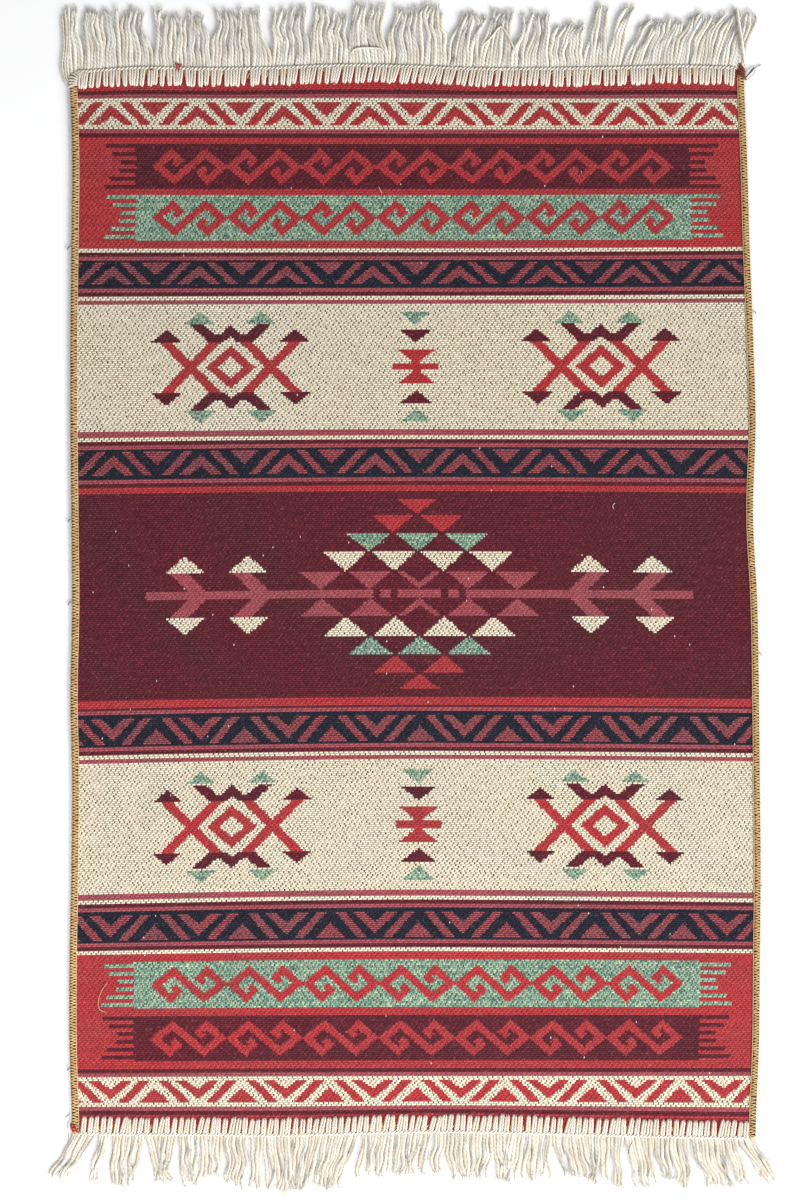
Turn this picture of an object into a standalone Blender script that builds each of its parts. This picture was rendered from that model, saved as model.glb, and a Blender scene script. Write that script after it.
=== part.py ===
"""A flat-woven kilim rug, about 0.80 by 1.24 m of cloth with a yarn fringe at both ends.

The cloth lies flat on the floor with its underside at z = 0. X runs across the width, Y runs
along the length and Z points up. The origin is the middle of the cloth's underside.
The long sides are bound by an overlock, and at each end a row of looped stitches holds the fringe.
"""

import math
import random

import bmesh
import bpy
from mathutils import Vector

MM = 0.001

# The cloth
CLOTH_THICKNESS = 3.0 * MM
LENGTH = 1245.0 * MM
CLEARANCE = 0.3 * MM

# Where the edges of the cloth run. A real rug is never quite square, so each edge is a smooth
# line through a few places, evenly spaced along it.
SIDE_EDGES_MM = (
    # x of the left edge, x of the right edge; from the far end (+Y) to the near end (-Y)
    (-401, 387),
    (-398, 391),
    (-399, 394),
    (-400, 398),
    (-400, 401),
    (-399, 398),
    (-398, 403),
    (-400, 405),
    (-398, 406),
    (-399, 407),
    (-401, 406),
    (-401, 405),
    (-398, 401),
)
END_EDGES_MM = (
    # y of the far edge, y of the near edge; from the left side (-X) to the right side (+X)
    (615, -622),
    (622, -623),
    (622, -623),
    (623, -624),
    (626, -622),
    (625, -620),
    (622, -620),
    (622, -622),
    (623, -624),
    (625, -626),
    (623, -627),
)
SIDE_STEPS = 36
END_STEPS = 30

# The overlock: a channel of wrapped thread on each long side. The cloth's edge is pressed thin in it.
OVERLOCK_WIDTH = 8.0 * MM
OVERLOCK_HEIGHT = 3.6 * MM
OVERLOCK_CHAMFER = 0.9 * MM
TONGUE_THICKNESS = 1.0 * MM
TONGUE_BOTTOM = 1.1 * MM
TONGUE_INSET = 1.2 * MM
TONGUE_ROOT = 4.0 * MM

# The heading: a row of looped stitches over the end of the cloth, on a chain along its edge.
# The stitches pull the cloth thin below them, so their tops are level with the rest of it.
STITCHES = 104
STITCH_LENGTH = 14.0 * MM
STITCH_WIDTH = 5.0 * MM
STITCH_TIP_WIDTH = 3.4 * MM
STITCH_THICKNESS = 1.1 * MM
STITCH_UNEVEN = 0.8 * MM
CHAIN_DEPTH = 3.0 * MM
PRESSED_DEPTH = 16.5 * MM
PRESSED_BOTTOM = 0.2 * MM
PRESSED_TOP = CLOTH_THICKNESS - STITCH_THICKNESS - CLEARANCE

# The fringe: one lock of yarn for each stitch, on a narrow backing strip past the cloth's edge
STRIP_DEPTH = 3.0 * MM
LOCK_ROOT_WIDTH = 4.8 * MM
LOCK_TIP_WIDTH = 2.2 * MM
LOCK_ROOT_HEIGHT = 2.6 * MM
LOCK_TIP_HEIGHT = 1.6 * MM
LOCK_STEPS = 5
LENGTH_UNEVEN = 3.0 * MM
FRINGE_REACH = 70.0 * MM
SIDEWAYS_POWER = 1.3

FAR_TUFTS = (
    # locks in the tuft, its sideways lean in mm, its tip width over its root width, its length in mm
    (2, -9, 0.9, 75),
    (3, 0, 0.75, 70),
    (3, -5, 0.8, 70),
    (2, 0, 0.8, 70),
    (3, -5, 0.5, 66),
    (4, 0, 0.85, 68),
    (5, -2, 0.9, 64),
    (6, -1, 0.7, 68),
    (3, -8, 0.6, 66),
    (6, 3, 0.75, 68),
    (3, -1, 0.7, 69),
    (3, 1, 0.8, 63),
    (6, 0, 0.75, 70),
    (5, 6, 0.75, 69),
    (4, 0, 0.8, 72),
    (5, 9, 0.75, 63),
    (5, 7, 0.6, 68),
    (6, 6, 0.8, 66),
    (5, 10, 0.9, 54),
    (4, 10, 0.5, 71),
    (2, 18, 0.8, 70),
    (8, 23, 0.7, 56),
    (3, 18, 0.8, 62),
    (3, 17, 0.8, 61),
    (5, 16, 0.85, 64),
)
NEAR_TUFTS = (
    # locks in the tuft, its sideways lean in mm, its tip width over its root width, its length in mm
    (3, -30, 1.2, 56),
    (2, -12, 1.0, 58),
    (4, -5, 0.9, 62),
    (2, -6, 0.8, 54),
    (2, -4, 0.5, 54),
    (3, 6, 0.7, 56),
    (4, 0, 0.7, 60),
    (3, -3, 0.8, 52),
    (4, -2, 0.8, 60),
    (2, 0, 0.8, 60),
    (4, 3, 0.8, 64),
    (5, -8, 0.7, 62),
    (6, -19, 0.5, 62),
    (1, -4, 1.0, 50),
    (3, -10, 0.9, 52),
    (4, -8, 0.9, 52),
    (3, -8, 0.8, 50),
    (2, -3, 0.9, 50),
    (3, -2, 0.8, 55),
    (4, -3, 0.7, 55),
    (2, 0, 0.8, 55),
    (3, -8, 0.8, 54),
    (2, -4, 0.8, 55),
    (2, -6, 0.7, 52),
    (3, 8, 0.8, 50),
    (6, 2, 0.7, 56),
    (2, 2, 0.8, 62),
    (3, 12, 0.8, 60),
    (4, 5, 0.8, 54),
    (3, 5, 0.8, 60),
    (4, 14, 0.9, 60),
    (3, 20, 0.9, 56),
    (3, 25, 0.9, 52),
)

COLOURS = {
    # part: base colour, roughness
    "cloth": ((0.32, 0.07, 0.08), 0.9),
    "overlock": ((0.55, 0.40, 0.17), 0.8),
    "heading": ((0.80, 0.75, 0.66), 0.85),
    "fringe": ((0.76, 0.71, 0.61), 0.9),
}


def smooth_value(values, share):
    """A value on the smooth line through evenly spaced values, at a share from 0 to 1."""
    place = min(max(share, 0.0), 1.0) * (len(values) - 1)
    index = min(int(place), len(values) - 2)
    t = place - index
    p1, p2 = values[index], values[index + 1]
    p0 = values[index - 1] if index > 0 else p1
    p3 = values[index + 2] if index + 2 < len(values) else p2
    bend = 2 * p0 - 5 * p1 + 4 * p2 - p3
    twist = 3 * p1 - 3 * p2 + p3 - p0
    return 0.5 * (2 * p1 + t * (p2 - p0 + t * (bend + t * twist)))


def side_x(side, down):
    """x of the left (side 0) or right (side 1) edge, at a share of the way from far to near."""
    return MM * smooth_value([row[side] for row in SIDE_EDGES_MM], down)


def end_y(end, across):
    """y of the far (end 0) or near (end 1) edge, at a share of the way from left to right."""
    return MM * smooth_value([row[end] for row in END_EDGES_MM], across)


def cloth_point(across, down):
    """The point of the cloth at a share across its width and down its length."""
    left, right = side_x(0, down), side_x(1, down)
    far, near = end_y(0, across), end_y(1, across)
    return Vector((left + across * (right - left), far + down * (near - far), 0.0))


def end_share(end, x):
    """The share across the width at which the far or near edge has this x."""
    left, right = side_x(0, float(end)), side_x(1, float(end))
    return (x - left) / (right - left)


def end_edge_point(end, x):
    return Vector((x, end_y(end, end_share(end, x)), 0.0))


def material(name):
    colour, roughness = COLOURS[name]
    made = bpy.data.materials.get(name) or bpy.data.materials.new(name)
    made.use_nodes = True
    shader = made.node_tree.nodes["Principled BSDF"]
    shader.inputs["Base Color"].default_value = (*colour, 1.0)
    shader.inputs["Roughness"].default_value = roughness
    shader.inputs["Metallic"].default_value = 0.0
    return made


def add_object(name, mesh_builder, finish):
    """Turns a bmesh into an object with outward faces and one material."""
    bmesh.ops.recalc_face_normals(mesh_builder, faces=mesh_builder.faces)
    mesh = bpy.data.meshes.new(name)
    mesh_builder.to_mesh(mesh)
    mesh_builder.free()
    mesh.materials.append(material(finish))
    made = bpy.data.objects.new(name, mesh)
    bpy.context.scene.collection.objects.link(made)
    return made


def prism(name, outline, bottom, top, finish):
    """A flat outline drawn in the XY plane and extruded from bottom to top."""
    shape = bmesh.new()
    base = shape.faces.new([shape.verts.new((p.x, p.y, bottom)) for p in outline])
    raised = bmesh.ops.extrude_face_region(shape, geom=[base], use_keep_orig=True)
    new_points = [g for g in raised["geom"] if isinstance(g, bmesh.types.BMVert)]
    bmesh.ops.translate(shape, verts=new_points, vec=(0, 0, top - bottom))
    return add_object(name, shape, finish)


def swept(name, rings, finish):
    """A closed solid through rings that all have the same number of points, with flat ends."""
    shape = bmesh.new()
    loops = [[shape.verts.new(p) for p in ring] for ring in rings]
    count = len(loops[0])
    for near_loop, far_loop in zip(loops, loops[1:]):
        for k in range(count):
            after = (k + 1) % count
            shape.faces.new((near_loop[k], near_loop[after], far_loop[after], far_loop[k]))
    shape.faces.new(loops[0])
    shape.faces.new(loops[-1])
    return add_object(name, shape, finish)


def join_to(target, other):
    """Fuses other into target with a Boolean union, and keeps other as a hidden helper."""
    union = target.modifiers.new("join_" + other.name, "BOOLEAN")
    union.operation = "UNION"
    union.solver = "EXACT"
    union.object = other
    other.hide_render = True
    other.display_type = "WIRE"


def outward(end):
    """The direction along Y that leads out of the cloth at its far (0) or near (1) end."""
    return 1.0 if end == 0 else -1.0


def inset_x(side, down, inset):
    """x at this distance inside the left or right edge."""
    return side_x(side, down) + (inset if side == 0 else -inset)


def slab_outline():
    """The outline of the cloth's full thickness: inside the overlocks and the pressed ends."""
    shoulder = OVERLOCK_WIDTH + CLEARANCE
    first = PRESSED_DEPTH / LENGTH
    shares = [first + (1.0 - 2 * first) * k / SIDE_STEPS for k in range(SIDE_STEPS + 1)]
    left = [Vector((inset_x(0, down, shoulder), cloth_point(0.0, down).y, 0.0)) for down in shares]
    right = [Vector((inset_x(1, down, shoulder), cloth_point(1.0, down).y, 0.0)) for down in shares]
    near = end_line(1, left[-1].x, right[-1].x, PRESSED_DEPTH)
    far = end_line(0, left[0].x, right[0].x, PRESSED_DEPTH)
    return left[1:-1] + near + right[-2:0:-1] + far[::-1]


def end_line(end, from_x, to_x, inset):
    """Points along the far or near edge, moved towards the middle of the cloth by the inset."""
    points = []
    for k in range(END_STEPS + 1):
        point = end_edge_point(end, from_x + (to_x - from_x) * k / END_STEPS)
        points.append(point - Vector((0, outward(end) * inset, 0)))
    return points


def side_tongue_outline(side):
    """The thin edge of the cloth that the overlock wraps, with a root that reaches into the cloth."""
    outer, inner = [], []
    first = (PRESSED_DEPTH + CLEARANCE) / LENGTH
    for k in range(SIDE_STEPS + 1):
        down = first + (1.0 - 2 * first) * k / SIDE_STEPS
        y = cloth_point(float(side), down).y
        outer.append(Vector((inset_x(side, down, TONGUE_INSET), y, 0.0)))
        inner.append(Vector((inset_x(side, down, OVERLOCK_WIDTH + TONGUE_ROOT), y, 0.0)))
    return outer + inner[::-1]


def end_tongue_outline(end):
    """The pressed end of the cloth below the stitches, with a root that reaches into the cloth."""
    margin = OVERLOCK_WIDTH + 1.5 * CLEARANCE
    from_x = inset_x(0, float(end), margin)
    to_x = inset_x(1, float(end), margin)
    outer = end_line(end, from_x, to_x, 0.0)
    inner = end_line(end, from_x + CLEARANCE, to_x - CLEARANCE, PRESSED_DEPTH + TONGUE_ROOT)
    return outer + inner[::-1]


def build_cloth():
    cloth = prism("cloth", slab_outline(), 0.0, CLOTH_THICKNESS, "cloth")
    tongue_top = TONGUE_BOTTOM + TONGUE_THICKNESS
    for side, word in enumerate(("left", "right")):
        outline = side_tongue_outline(side)
        join_to(cloth, prism("tongue_" + word, outline, TONGUE_BOTTOM, tongue_top, "cloth"))
    for end, word in enumerate(("far", "near")):
        outline = end_tongue_outline(end)
        join_to(cloth, prism("tongue_" + word, outline, PRESSED_BOTTOM, PRESSED_TOP, "cloth"))


def overlock_section():
    """The channel's section: (distance in from the cloth's edge, height) of each corner."""
    slot_back = TONGUE_INSET - CLEARANCE
    slot_low = TONGUE_BOTTOM - CLEARANCE
    slot_high = TONGUE_BOTTOM + TONGUE_THICKNESS + CLEARANCE
    return (
        (0.0, OVERLOCK_CHAMFER),
        (OVERLOCK_CHAMFER, 0.0),
        (OVERLOCK_WIDTH, 0.0),
        (OVERLOCK_WIDTH, slot_low),
        (slot_back, slot_low),
        (slot_back, slot_high),
        (OVERLOCK_WIDTH, slot_high),
        (OVERLOCK_WIDTH, CLOTH_THICKNESS),
        (OVERLOCK_WIDTH - OVERLOCK_CHAMFER, OVERLOCK_HEIGHT),
        (OVERLOCK_CHAMFER, OVERLOCK_HEIGHT),
        (0.0, OVERLOCK_HEIGHT - OVERLOCK_CHAMFER),
    )


def build_overlock(side, name):
    section = overlock_section()
    rings = []
    for k in range(SIDE_STEPS + 1):
        down = k / SIDE_STEPS
        y = cloth_point(float(side), down).y
        rings.append([(inset_x(side, down, inset), y, height) for inset, height in section])
    swept(name, rings, "overlock")


def stitch_places(end):
    """x of the middle of each stitch along one end, between the two overlocks."""
    margin = OVERLOCK_WIDTH + CLEARANCE
    first = inset_x(0, float(end), margin)
    last = inset_x(1, float(end), margin)
    pitch = (last - first) / STITCHES
    return [first + (k + 0.5) * pitch for k in range(STITCHES)], pitch


def heading_outline(end):
    """The chain along the edge with its row of stitches, each a little uneven, as one outline."""
    chance = random.Random(11 + end)
    out = outward(end)
    places, pitch = stitch_places(end)
    inner = []
    for x in places:
        root_y = end_edge_point(end, x).y - out * CHAIN_DEPTH
        shift = chance.uniform(-STITCH_UNEVEN, STITCH_UNEVEN)
        reach = STITCH_LENGTH - CHAIN_DEPTH + chance.uniform(-STITCH_UNEVEN, STITCH_UNEVEN)
        tip_y = root_y - out * reach
        inner += [
            Vector((x - STITCH_WIDTH / 2, root_y, 0.0)),
            Vector((x + shift - STITCH_TIP_WIDTH / 2, tip_y, 0.0)),
            Vector((x + shift + STITCH_TIP_WIDTH / 2, tip_y, 0.0)),
            Vector((x + STITCH_WIDTH / 2, root_y, 0.0)),
        ]
    outer = end_line(end, places[0] - pitch / 2, places[-1] + pitch / 2, 0.0)
    return inner + outer[::-1]


def build_heading(end, name):
    bottom = PRESSED_TOP + CLEARANCE
    prism(name, heading_outline(end), bottom, bottom + STITCH_THICKNESS, "heading")


def tuft_locks(end):
    """Each lock of one end: x of its root, x of its tip at the full reach, and its length."""
    chance = random.Random(23 + end)
    tufts = FAR_TUFTS if end == 0 else NEAR_TUFTS
    left, right = side_x(0, float(end)), side_x(1, float(end))
    pitch = (right - left) / STITCHES
    locks, used = [], 0
    for count, lean, spread, length in tufts:
        middle = left + (used + count / 2) * pitch
        for k in range(count):
            root = left + (used + k + 0.5) * pitch
            tip = middle + lean * MM + (root - middle) * spread
            locks.append((root, tip, length * MM + chance.uniform(-1, 1) * LENGTH_UNEVEN))
        used += count
    return locks, pitch


def lock_sections(root, tip, length, wall_y, out):
    """The three-sided sections of one lock, from the strip's wall to its tip: flat below, ridged above."""
    sections = []
    for k in range(1, LOCK_STEPS + 1):
        along = k / LOCK_STEPS
        gone = length * along
        sideways = (gone / FRINGE_REACH) ** SIDEWAYS_POWER
        x = root + (tip - root) * sideways
        y = wall_y + out * gone
        half = 0.5 * (LOCK_ROOT_WIDTH + along * (LOCK_TIP_WIDTH - LOCK_ROOT_WIDTH))
        height = LOCK_ROOT_HEIGHT + along * (LOCK_TIP_HEIGHT - LOCK_ROOT_HEIGHT)
        sections.append(((x - half, y, 0.0), (x, y, height), (x + half, y, 0.0)))
    return sections


def build_fringe(end, name):
    """The backing strip with every lock grown out of its outer wall, as one closed mesh."""
    out = outward(end)
    locks, pitch = tuft_locks(end)
    shape = bmesh.new()

    def corner_column(x):
        edge_y = end_edge_point(end, x).y
        inner_y = edge_y + out * CLEARANCE
        outer_y = edge_y + out * (CLEARANCE + STRIP_DEPTH)
        return {
            "inner_low": shape.verts.new((x, inner_y, 0.0)),
            "inner_high": shape.verts.new((x, inner_y, CLOTH_THICKNESS)),
            "outer_low": shape.verts.new((x, outer_y, 0.0)),
            "outer_high": shape.verts.new((x, outer_y, CLOTH_THICKNESS)),
        }

    columns = [corner_column(locks[0][0] - pitch / 2 + k * pitch) for k in range(STITCHES + 1)]
    for (root, tip, length), a, b in zip(locks, columns, columns[1:]):
        wall_y = 0.5 * (a["outer_low"].co.y + b["outer_low"].co.y)
        slope = (b["outer_low"].co.y - a["outer_low"].co.y) / pitch
        half = LOCK_ROOT_WIDTH / 2
        wall_points = [
            shape.verts.new((root - half, wall_y - slope * half, 0.0)),
            shape.verts.new((root, wall_y, LOCK_ROOT_HEIGHT)),
            shape.verts.new((root + half, wall_y + slope * half, 0.0)),
        ]
        low_left, ridge, low_right = wall_points
        shape.faces.new((a["inner_high"], b["inner_high"], b["outer_high"], a["outer_high"]))
        shape.faces.new((a["inner_low"], b["inner_low"], b["inner_high"], a["inner_high"]))
        shape.faces.new(
            (a["inner_low"], a["outer_low"], low_left, low_right, b["outer_low"], b["inner_low"])
        )
        shape.faces.new((a["outer_low"], low_left, ridge, a["outer_high"]))
        shape.faces.new((low_right, b["outer_low"], b["outer_high"], ridge))
        shape.faces.new((ridge, b["outer_high"], a["outer_high"]))
        before = wall_points
        for section in lock_sections(root, tip, length, wall_y, out):
            ring = [shape.verts.new(p) for p in section]
            for k in range(3):
                after = (k + 1) % 3
                shape.faces.new((before[k], before[after], ring[after], ring[k]))
            before = ring
        shape.faces.new(before)
    for column in (columns[0], columns[-1]):
        names = ("inner_low", "outer_low", "outer_high", "inner_high")
        shape.faces.new([column[name_of_corner] for name_of_corner in names])
    add_object(name, shape, "fringe")


def main():
    for old in list(bpy.data.objects):
        bpy.data.objects.remove(old)
    build_cloth()
    build_overlock(0, "overlock_left")
    build_overlock(1, "overlock_right")
    for end, word in enumerate(("far", "near")):
        build_heading(end, "heading_" + word)
        build_fringe(end, "fringe_" + word)


main()
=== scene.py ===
# %% [markdown]
# # A kilim rug
#
# This lesson dresses a flat-woven rug: patterned cotton cloth, thread wrapped along its long sides,
# a row of looped stitches at each end, and a fringe of loose yarn.
# The solids come first, as a frame that stays where it is. Each piece made here replaces one of them.

# %% Load the solids as the frame
import math
import random
from collections import namedtuple

import bpy
import numpy as np
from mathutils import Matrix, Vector


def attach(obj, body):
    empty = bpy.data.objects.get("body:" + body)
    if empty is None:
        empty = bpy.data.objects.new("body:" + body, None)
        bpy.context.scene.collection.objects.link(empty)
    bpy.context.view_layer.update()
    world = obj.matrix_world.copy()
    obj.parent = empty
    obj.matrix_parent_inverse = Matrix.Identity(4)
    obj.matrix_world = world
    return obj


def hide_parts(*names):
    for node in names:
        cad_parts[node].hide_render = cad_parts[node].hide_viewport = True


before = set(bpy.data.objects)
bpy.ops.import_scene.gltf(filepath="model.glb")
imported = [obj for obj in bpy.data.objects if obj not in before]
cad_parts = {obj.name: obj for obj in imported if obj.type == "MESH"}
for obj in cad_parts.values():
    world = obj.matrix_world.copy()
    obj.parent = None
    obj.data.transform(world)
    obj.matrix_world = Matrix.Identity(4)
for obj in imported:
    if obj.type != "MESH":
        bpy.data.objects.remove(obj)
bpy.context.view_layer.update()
print("solids:", sorted(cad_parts))

# %% [markdown]
# ## Where the cloth's edges run
#
# A hand-finished rug is never quite square. Each edge is a smooth line through a few places that are
# evenly spaced along it, as on the solids. A point of the cloth is then found from two shares: how far
# across the width it lies, and how far down the length.

# %% Sizes and edges
MM = 0.001
WIDTH, LENGTH = 800 * MM, 1245 * MM
THICKNESS = 3.0 * MM

LEFT_EDGE = (-401, -398, -399, -400, -400, -399, -398, -400, -398, -399, -401, -401, -398)
RIGHT_EDGE = (387, 391, 394, 398, 401, 398, 403, 405, 406, 407, 406, 405, 401)
FAR_EDGE = (618, 623, 622, 623, 626, 625, 622, 622, 623, 625, 623)
NEAR_EDGE = (-622, -623, -623, -624, -622, -620, -620, -622, -624, -626, -627)
# Rows of weaving in mm towards the far end: the middle against even spacing, the sides against the middle
ROW_MIDDLE = (0, -4.6, -3.2, -2.6, -2.2, -2.8, -4.4, -3.8, -2.6, -2, 0)
ROW_LEFT = (0.5, 0.5, -1.0, -3.2, -4.4, -5.0, -5.8, -7.0, -6.0, -2.2, -1.5)
ROW_RIGHT = (-1.0, 1.2, 1.8, 0.2, -2.2, -2.3, -2.6, -3.6, -3.4, 0, -0.5)
# Share of the length at each end over which rows turn into line with the cut edge, and how
# sharply a row leaves the level of its middle towards the sides
EDGE_SHARE, ROW_CURVE = 0.035, 1.5


def smooth(values, share):
    """Values on the smooth line through evenly spaced values, at shares from 0 to 1."""
    values = np.array(values, float)
    place = np.clip(np.asarray(share, float), 0, 1) * (len(values) - 1)
    index = np.minimum(place.astype(int), len(values) - 2)
    t = place - index
    p1, p2 = values[index], values[index + 1]
    p0, p3 = values[np.maximum(index - 1, 0)], values[np.minimum(index + 2, len(values) - 1)]
    bend = 2 * p0 - 5 * p1 + 4 * p2 - p3
    twist = 3 * p1 - 3 * p2 + p3 - p0
    return 0.5 * (2 * p1 + t * (p2 - p0 + t * (bend + t * twist)))


def cloth_point(across, down):
    """x and y in metres of the cloth, from its shares across (0 left) and down (0 far end)."""
    left, right = smooth(LEFT_EDGE, down), smooth(RIGHT_EDGE, down)
    far_middle, near_middle = smooth(FAR_EDGE, 0.5), smooth(NEAR_EDGE, 0.5)
    drop = np.where(across < 0.5, smooth(ROW_LEFT, down), smooth(ROW_RIGHT, down))
    drop = drop * abs(2 * across - 1) ** ROW_CURVE
    y = far_middle + down * (near_middle - far_middle) + smooth(ROW_MIDDLE, down) + drop
    for edge, share in ((FAR_EDGE, down), (NEAR_EDGE, 1 - down)):
        turned = np.maximum(0.0, 1 - share / EDGE_SHARE)
        y += turned * (smooth(edge, across) - smooth(edge, 0.5) - drop)
    return MM * (left + across * (right - left)), MM * y


print("middle of the weaving, in mm:", [round(float(v) / MM, 1) for v in cloth_point(0.5, 0.5)])

# %% [markdown]
# ## The weaver's chart
#
# A pattern like this is charted before it is woven: which yarn shows in each cell of each row.
# One row is one pass of the weft, and one cell is one warp thread wide. A drawing program could
# paint the pattern on, but then its edges would be smooth. Worked out cell by cell, every slope
# comes out as small steps, as it does on a loom.
#
# The chart is a table of bands. Each band names its rows, its ground yarn and the figure on it.

# %% Cells, rows and bands
WARPS, ROWS = 548, 532
CELL, ROW = WIDTH / MM / WARPS, LENGTH / MM / ROWS
YARNS = ("cream", "red", "maroon", "rose", "navy", "green", "thin_rose", "edge")
# Cells of the outermost warps at each side take a dark brown yarn. It shows only between the
# overlock's threads, where it darkens the gaps
EDGE_WARPS = 5

BANDS = (
    # rows and ground yarn, and where there is a figure, its name and the mm that its middle lies
    # right of the cloth's middle
    (11, "red"), (2, "maroon"), (2, "rose"),
    (15, "cream", "rising zigzag", 5.5),
    (2, "rose"), (2, "maroon"), (3, "red"),
    (22, "maroon", "rising hooks", 3.3),
    (3, "red"),
    (23, "green", "rising hooks", 4),
    (4, "red"), (2, "cream"), (2, "maroon"), (2, "rose"),
    (14, "navy", "rising zigzag", 5.8),
    (2, "rose"), (2, "maroon"), (2, "cream"), (2, "rose"),
    (63, "cream", "stars", 4.3),
    (3, "rose"), (2, "cream"), (2, "maroon"), (2, "rose"),
    (15, "navy", "rising zigzag", 7.2),
    (2, "rose"), (2, "maroon"), (3, "red"),
    (102, "maroon", "medallion", 5.6),
    (4, "red"), (1, "maroon"), (2, "rose"),
    (16, "navy", "falling zigzag", 5.6),
    (2, "rose"), (2, "maroon"), (2, "cream"), (2, "rose"),
    (66, "cream", "stars", 2.5),
    (3, "rose"), (2, "cream"), (2, "maroon"), (2, "rose"),
    (16, "navy", "falling zigzag", 4.2),
    (2, "rose"), (2, "maroon"), (2, "cream"), (4, "red"),
    (24, "green", "falling hooks", 2.5),
    (4, "red"),
    (23, "maroon", "falling hooks", 2),
    (4, "red"), (2, "maroon"), (2, "rose"),
    (15, "cream", "falling zigzag", 3),
    (2, "rose"), (2, "maroon"), (9, "red"),
)
print("rows in the table:", sum(band[0] for band in BANDS), "of", ROWS)

# %% [markdown]
# ## The figures
#
# Each figure is a small rule in millimetres: x from the figure's middle, y down from the top of its
# band. The hooks are drawn as a diamond-shaped brush would draw them, which gives points at the
# corners. The stars repeat in four mirrored quarters, so only one quarter is described.

# %% Small shapes that every figure uses
# What a figure needs to know of its band: height in mm, ground yarn, and which way up it is
Band = namedtuple("Band", "height ground falling")


def triangle(x, y, tip, base, half):
    """Cells inside a triangle: a point at y = tip, and its full half-width at y = base."""
    share = (y - tip) / (base - tip)
    return (abs(x) <= half * share) & (0 <= share <= 1)


def triangles(x, y, table):
    for yarn, middle, tip, base, half in table:
        yield yarn, triangle(x - middle, y, tip, base, half)


def brushed(x, y, path, size):
    """Cells that a diamond-shaped brush covers as it follows the path."""
    inside = np.zeros(len(x), bool)
    for (x0, y0), (x1, y1) in zip(path, path[1:]):
        steps = int(math.hypot(x1 - x0, y1 - y0)) + 2
        for k in range(steps):
            t = k / (steps - 1)
            inside |= abs(x - x0 - t * (x1 - x0)) + abs(y - y0 - t * (y1 - y0)) <= size
    return inside


def folded(x, period):
    """Distance from the nearest middle of a repeat."""
    return abs((x + period / 2) % period - period / 2)


# %% Zigzag bands: nested angles with slanted bars and a triangle between
# The repeat, the plain rim, and the height for which the other sizes are given
ZIGZAG_REPEAT, ZIGZAG_RIM, ZIGZAG_HEIGHT = 102.2, 5.3, 24.6
# Half-width at the foot and height of the point: the angle's outer line and its inner line
OUTER_LINE, INNER_LINE = (25.0, 20.8), (12.6, 9.2)
# The bars' distance from the angle's middle, their slant and half-width, and the triangle's sizes
BAR_PLACE, BAR_SLANT, BAR_WIDE = 39.9, 1.045, 5.3
BETWEEN_WIDE, BETWEEN_SLANT = 17.4, 1.18


def zigzag(x, y, band):
    on_cream = band.ground == "cream"
    figure_height = band.height - (9.4 if on_cream else 7.6)
    from_rim = y - ZIGZAG_RIM if band.falling else band.height - ZIGZAG_RIM - y
    foot = from_rim * ZIGZAG_HEIGHT / figure_height
    if not 0 <= foot <= ZIGZAG_HEIGHT:
        return
    side = folded(x - ZIGZAG_REPEAT / 2, ZIGZAG_REPEAT)
    fuller = 2.2 if on_cream else 0.0
    outer, inner = (half * (1 - foot / tall) for half, tall in (OUTER_LINE, INNER_LINE))
    bar = abs(side - BAR_PLACE + BAR_SLANT * foot) <= BAR_WIDE + 0.35 * fuller
    edge = BETWEEN_WIDE + fuller - BETWEEN_SLANT * (ZIGZAG_HEIGHT - foot)
    between = ZIGZAG_REPEAT / 2 - side <= edge
    yield "red" if on_cream else "thin_rose", (side <= outer) & (side >= inner) | bar | between


# %% Hook bands: joined double hooks, and a comb of teeth at each end
HOOK_REPEAT, HOOKS, HOOK_BRUSH = 88.2, 7, 5.5
HOOK_HALF = ((-15.5, -4.5), (-12.3, -7.2), (-20.8, -15.5), (-38.6, -0.5), (-18.2, 15.2), (0, 0))
# The height for which the hook's points are given, and the half-width of the ground behind it
HOOK_HEIGHT, HOOK_GROUND = 52.0, 328.5
# Where a link between two hooks starts, and half its height
LINK_START, LINK_HALF = 41, 2.0
# How far each tooth reaches, and the rows from one tooth to the next
TEETH, TOOTH_ROWS = (35, 28.5, 18.5, 20, 30.5, 36.8), 4
COMB_ROWS = len(TEETH) * TOOTH_ROWS - 2


def hooks(x, y, band):
    tooth = int(y / ROW) - (round(band.height / ROW) - COMB_ROWS) // 2
    in_tooth = 0 <= tooth < COMB_ROWS and tooth % TOOTH_ROWS < 2
    yield "red", abs(x) > HOOK_GROUND + (TEETH[tooth // TOOTH_ROWS] if in_tooth else 0)
    stretch = band.height / HOOK_HEIGHT
    level = (y - band.height / 2) / stretch * (-1 if band.falling else 1)
    side = (x + HOOK_REPEAT * HOOKS / 2) % HOOK_REPEAT - HOOK_REPEAT / 2
    path = HOOK_HALF + tuple((-a, -b) for a, b in HOOK_HALF[-2::-1])
    in_row = abs(x) < HOOK_REPEAT * HOOKS / 2 - 0.5
    yield "red", brushed(side, level, path, HOOK_BRUSH) & in_row
    joined = abs(x) < HOOK_REPEAT * (HOOKS / 2 - 0.5)
    yield "red", joined & (abs(side) > LINK_START) & (abs(level) < LINK_HALF)


# %% Star bands: a pair of crossed stars, with a small stack of triangles between them
STAR_OFFSET = 217
# The crossed arms: x where they cross the middle line, slant, half-width, and where they end
ARM_PLACE, ARM_SLANT, ARM_WIDE, ARM_END = 47.0, 0.98, 7.3, 29.6
# The diamonds, each over the last: yarn, reach across and reach down
DIAMONDS = (("cream", 39.8, 33.6), ("red", 29.1, 25.5), ("cream", 14.5, 12.5))
CROWN = ((47.7, 50.2), (32.0, 50.2), (17.9, 38.3), (12.5, 38.3), (0, 49.5))
CROWN_FOOT = ((47.7, 50.2), (26.9, 30.0), (7.0, 30.0), (0, 35.6))
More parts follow.
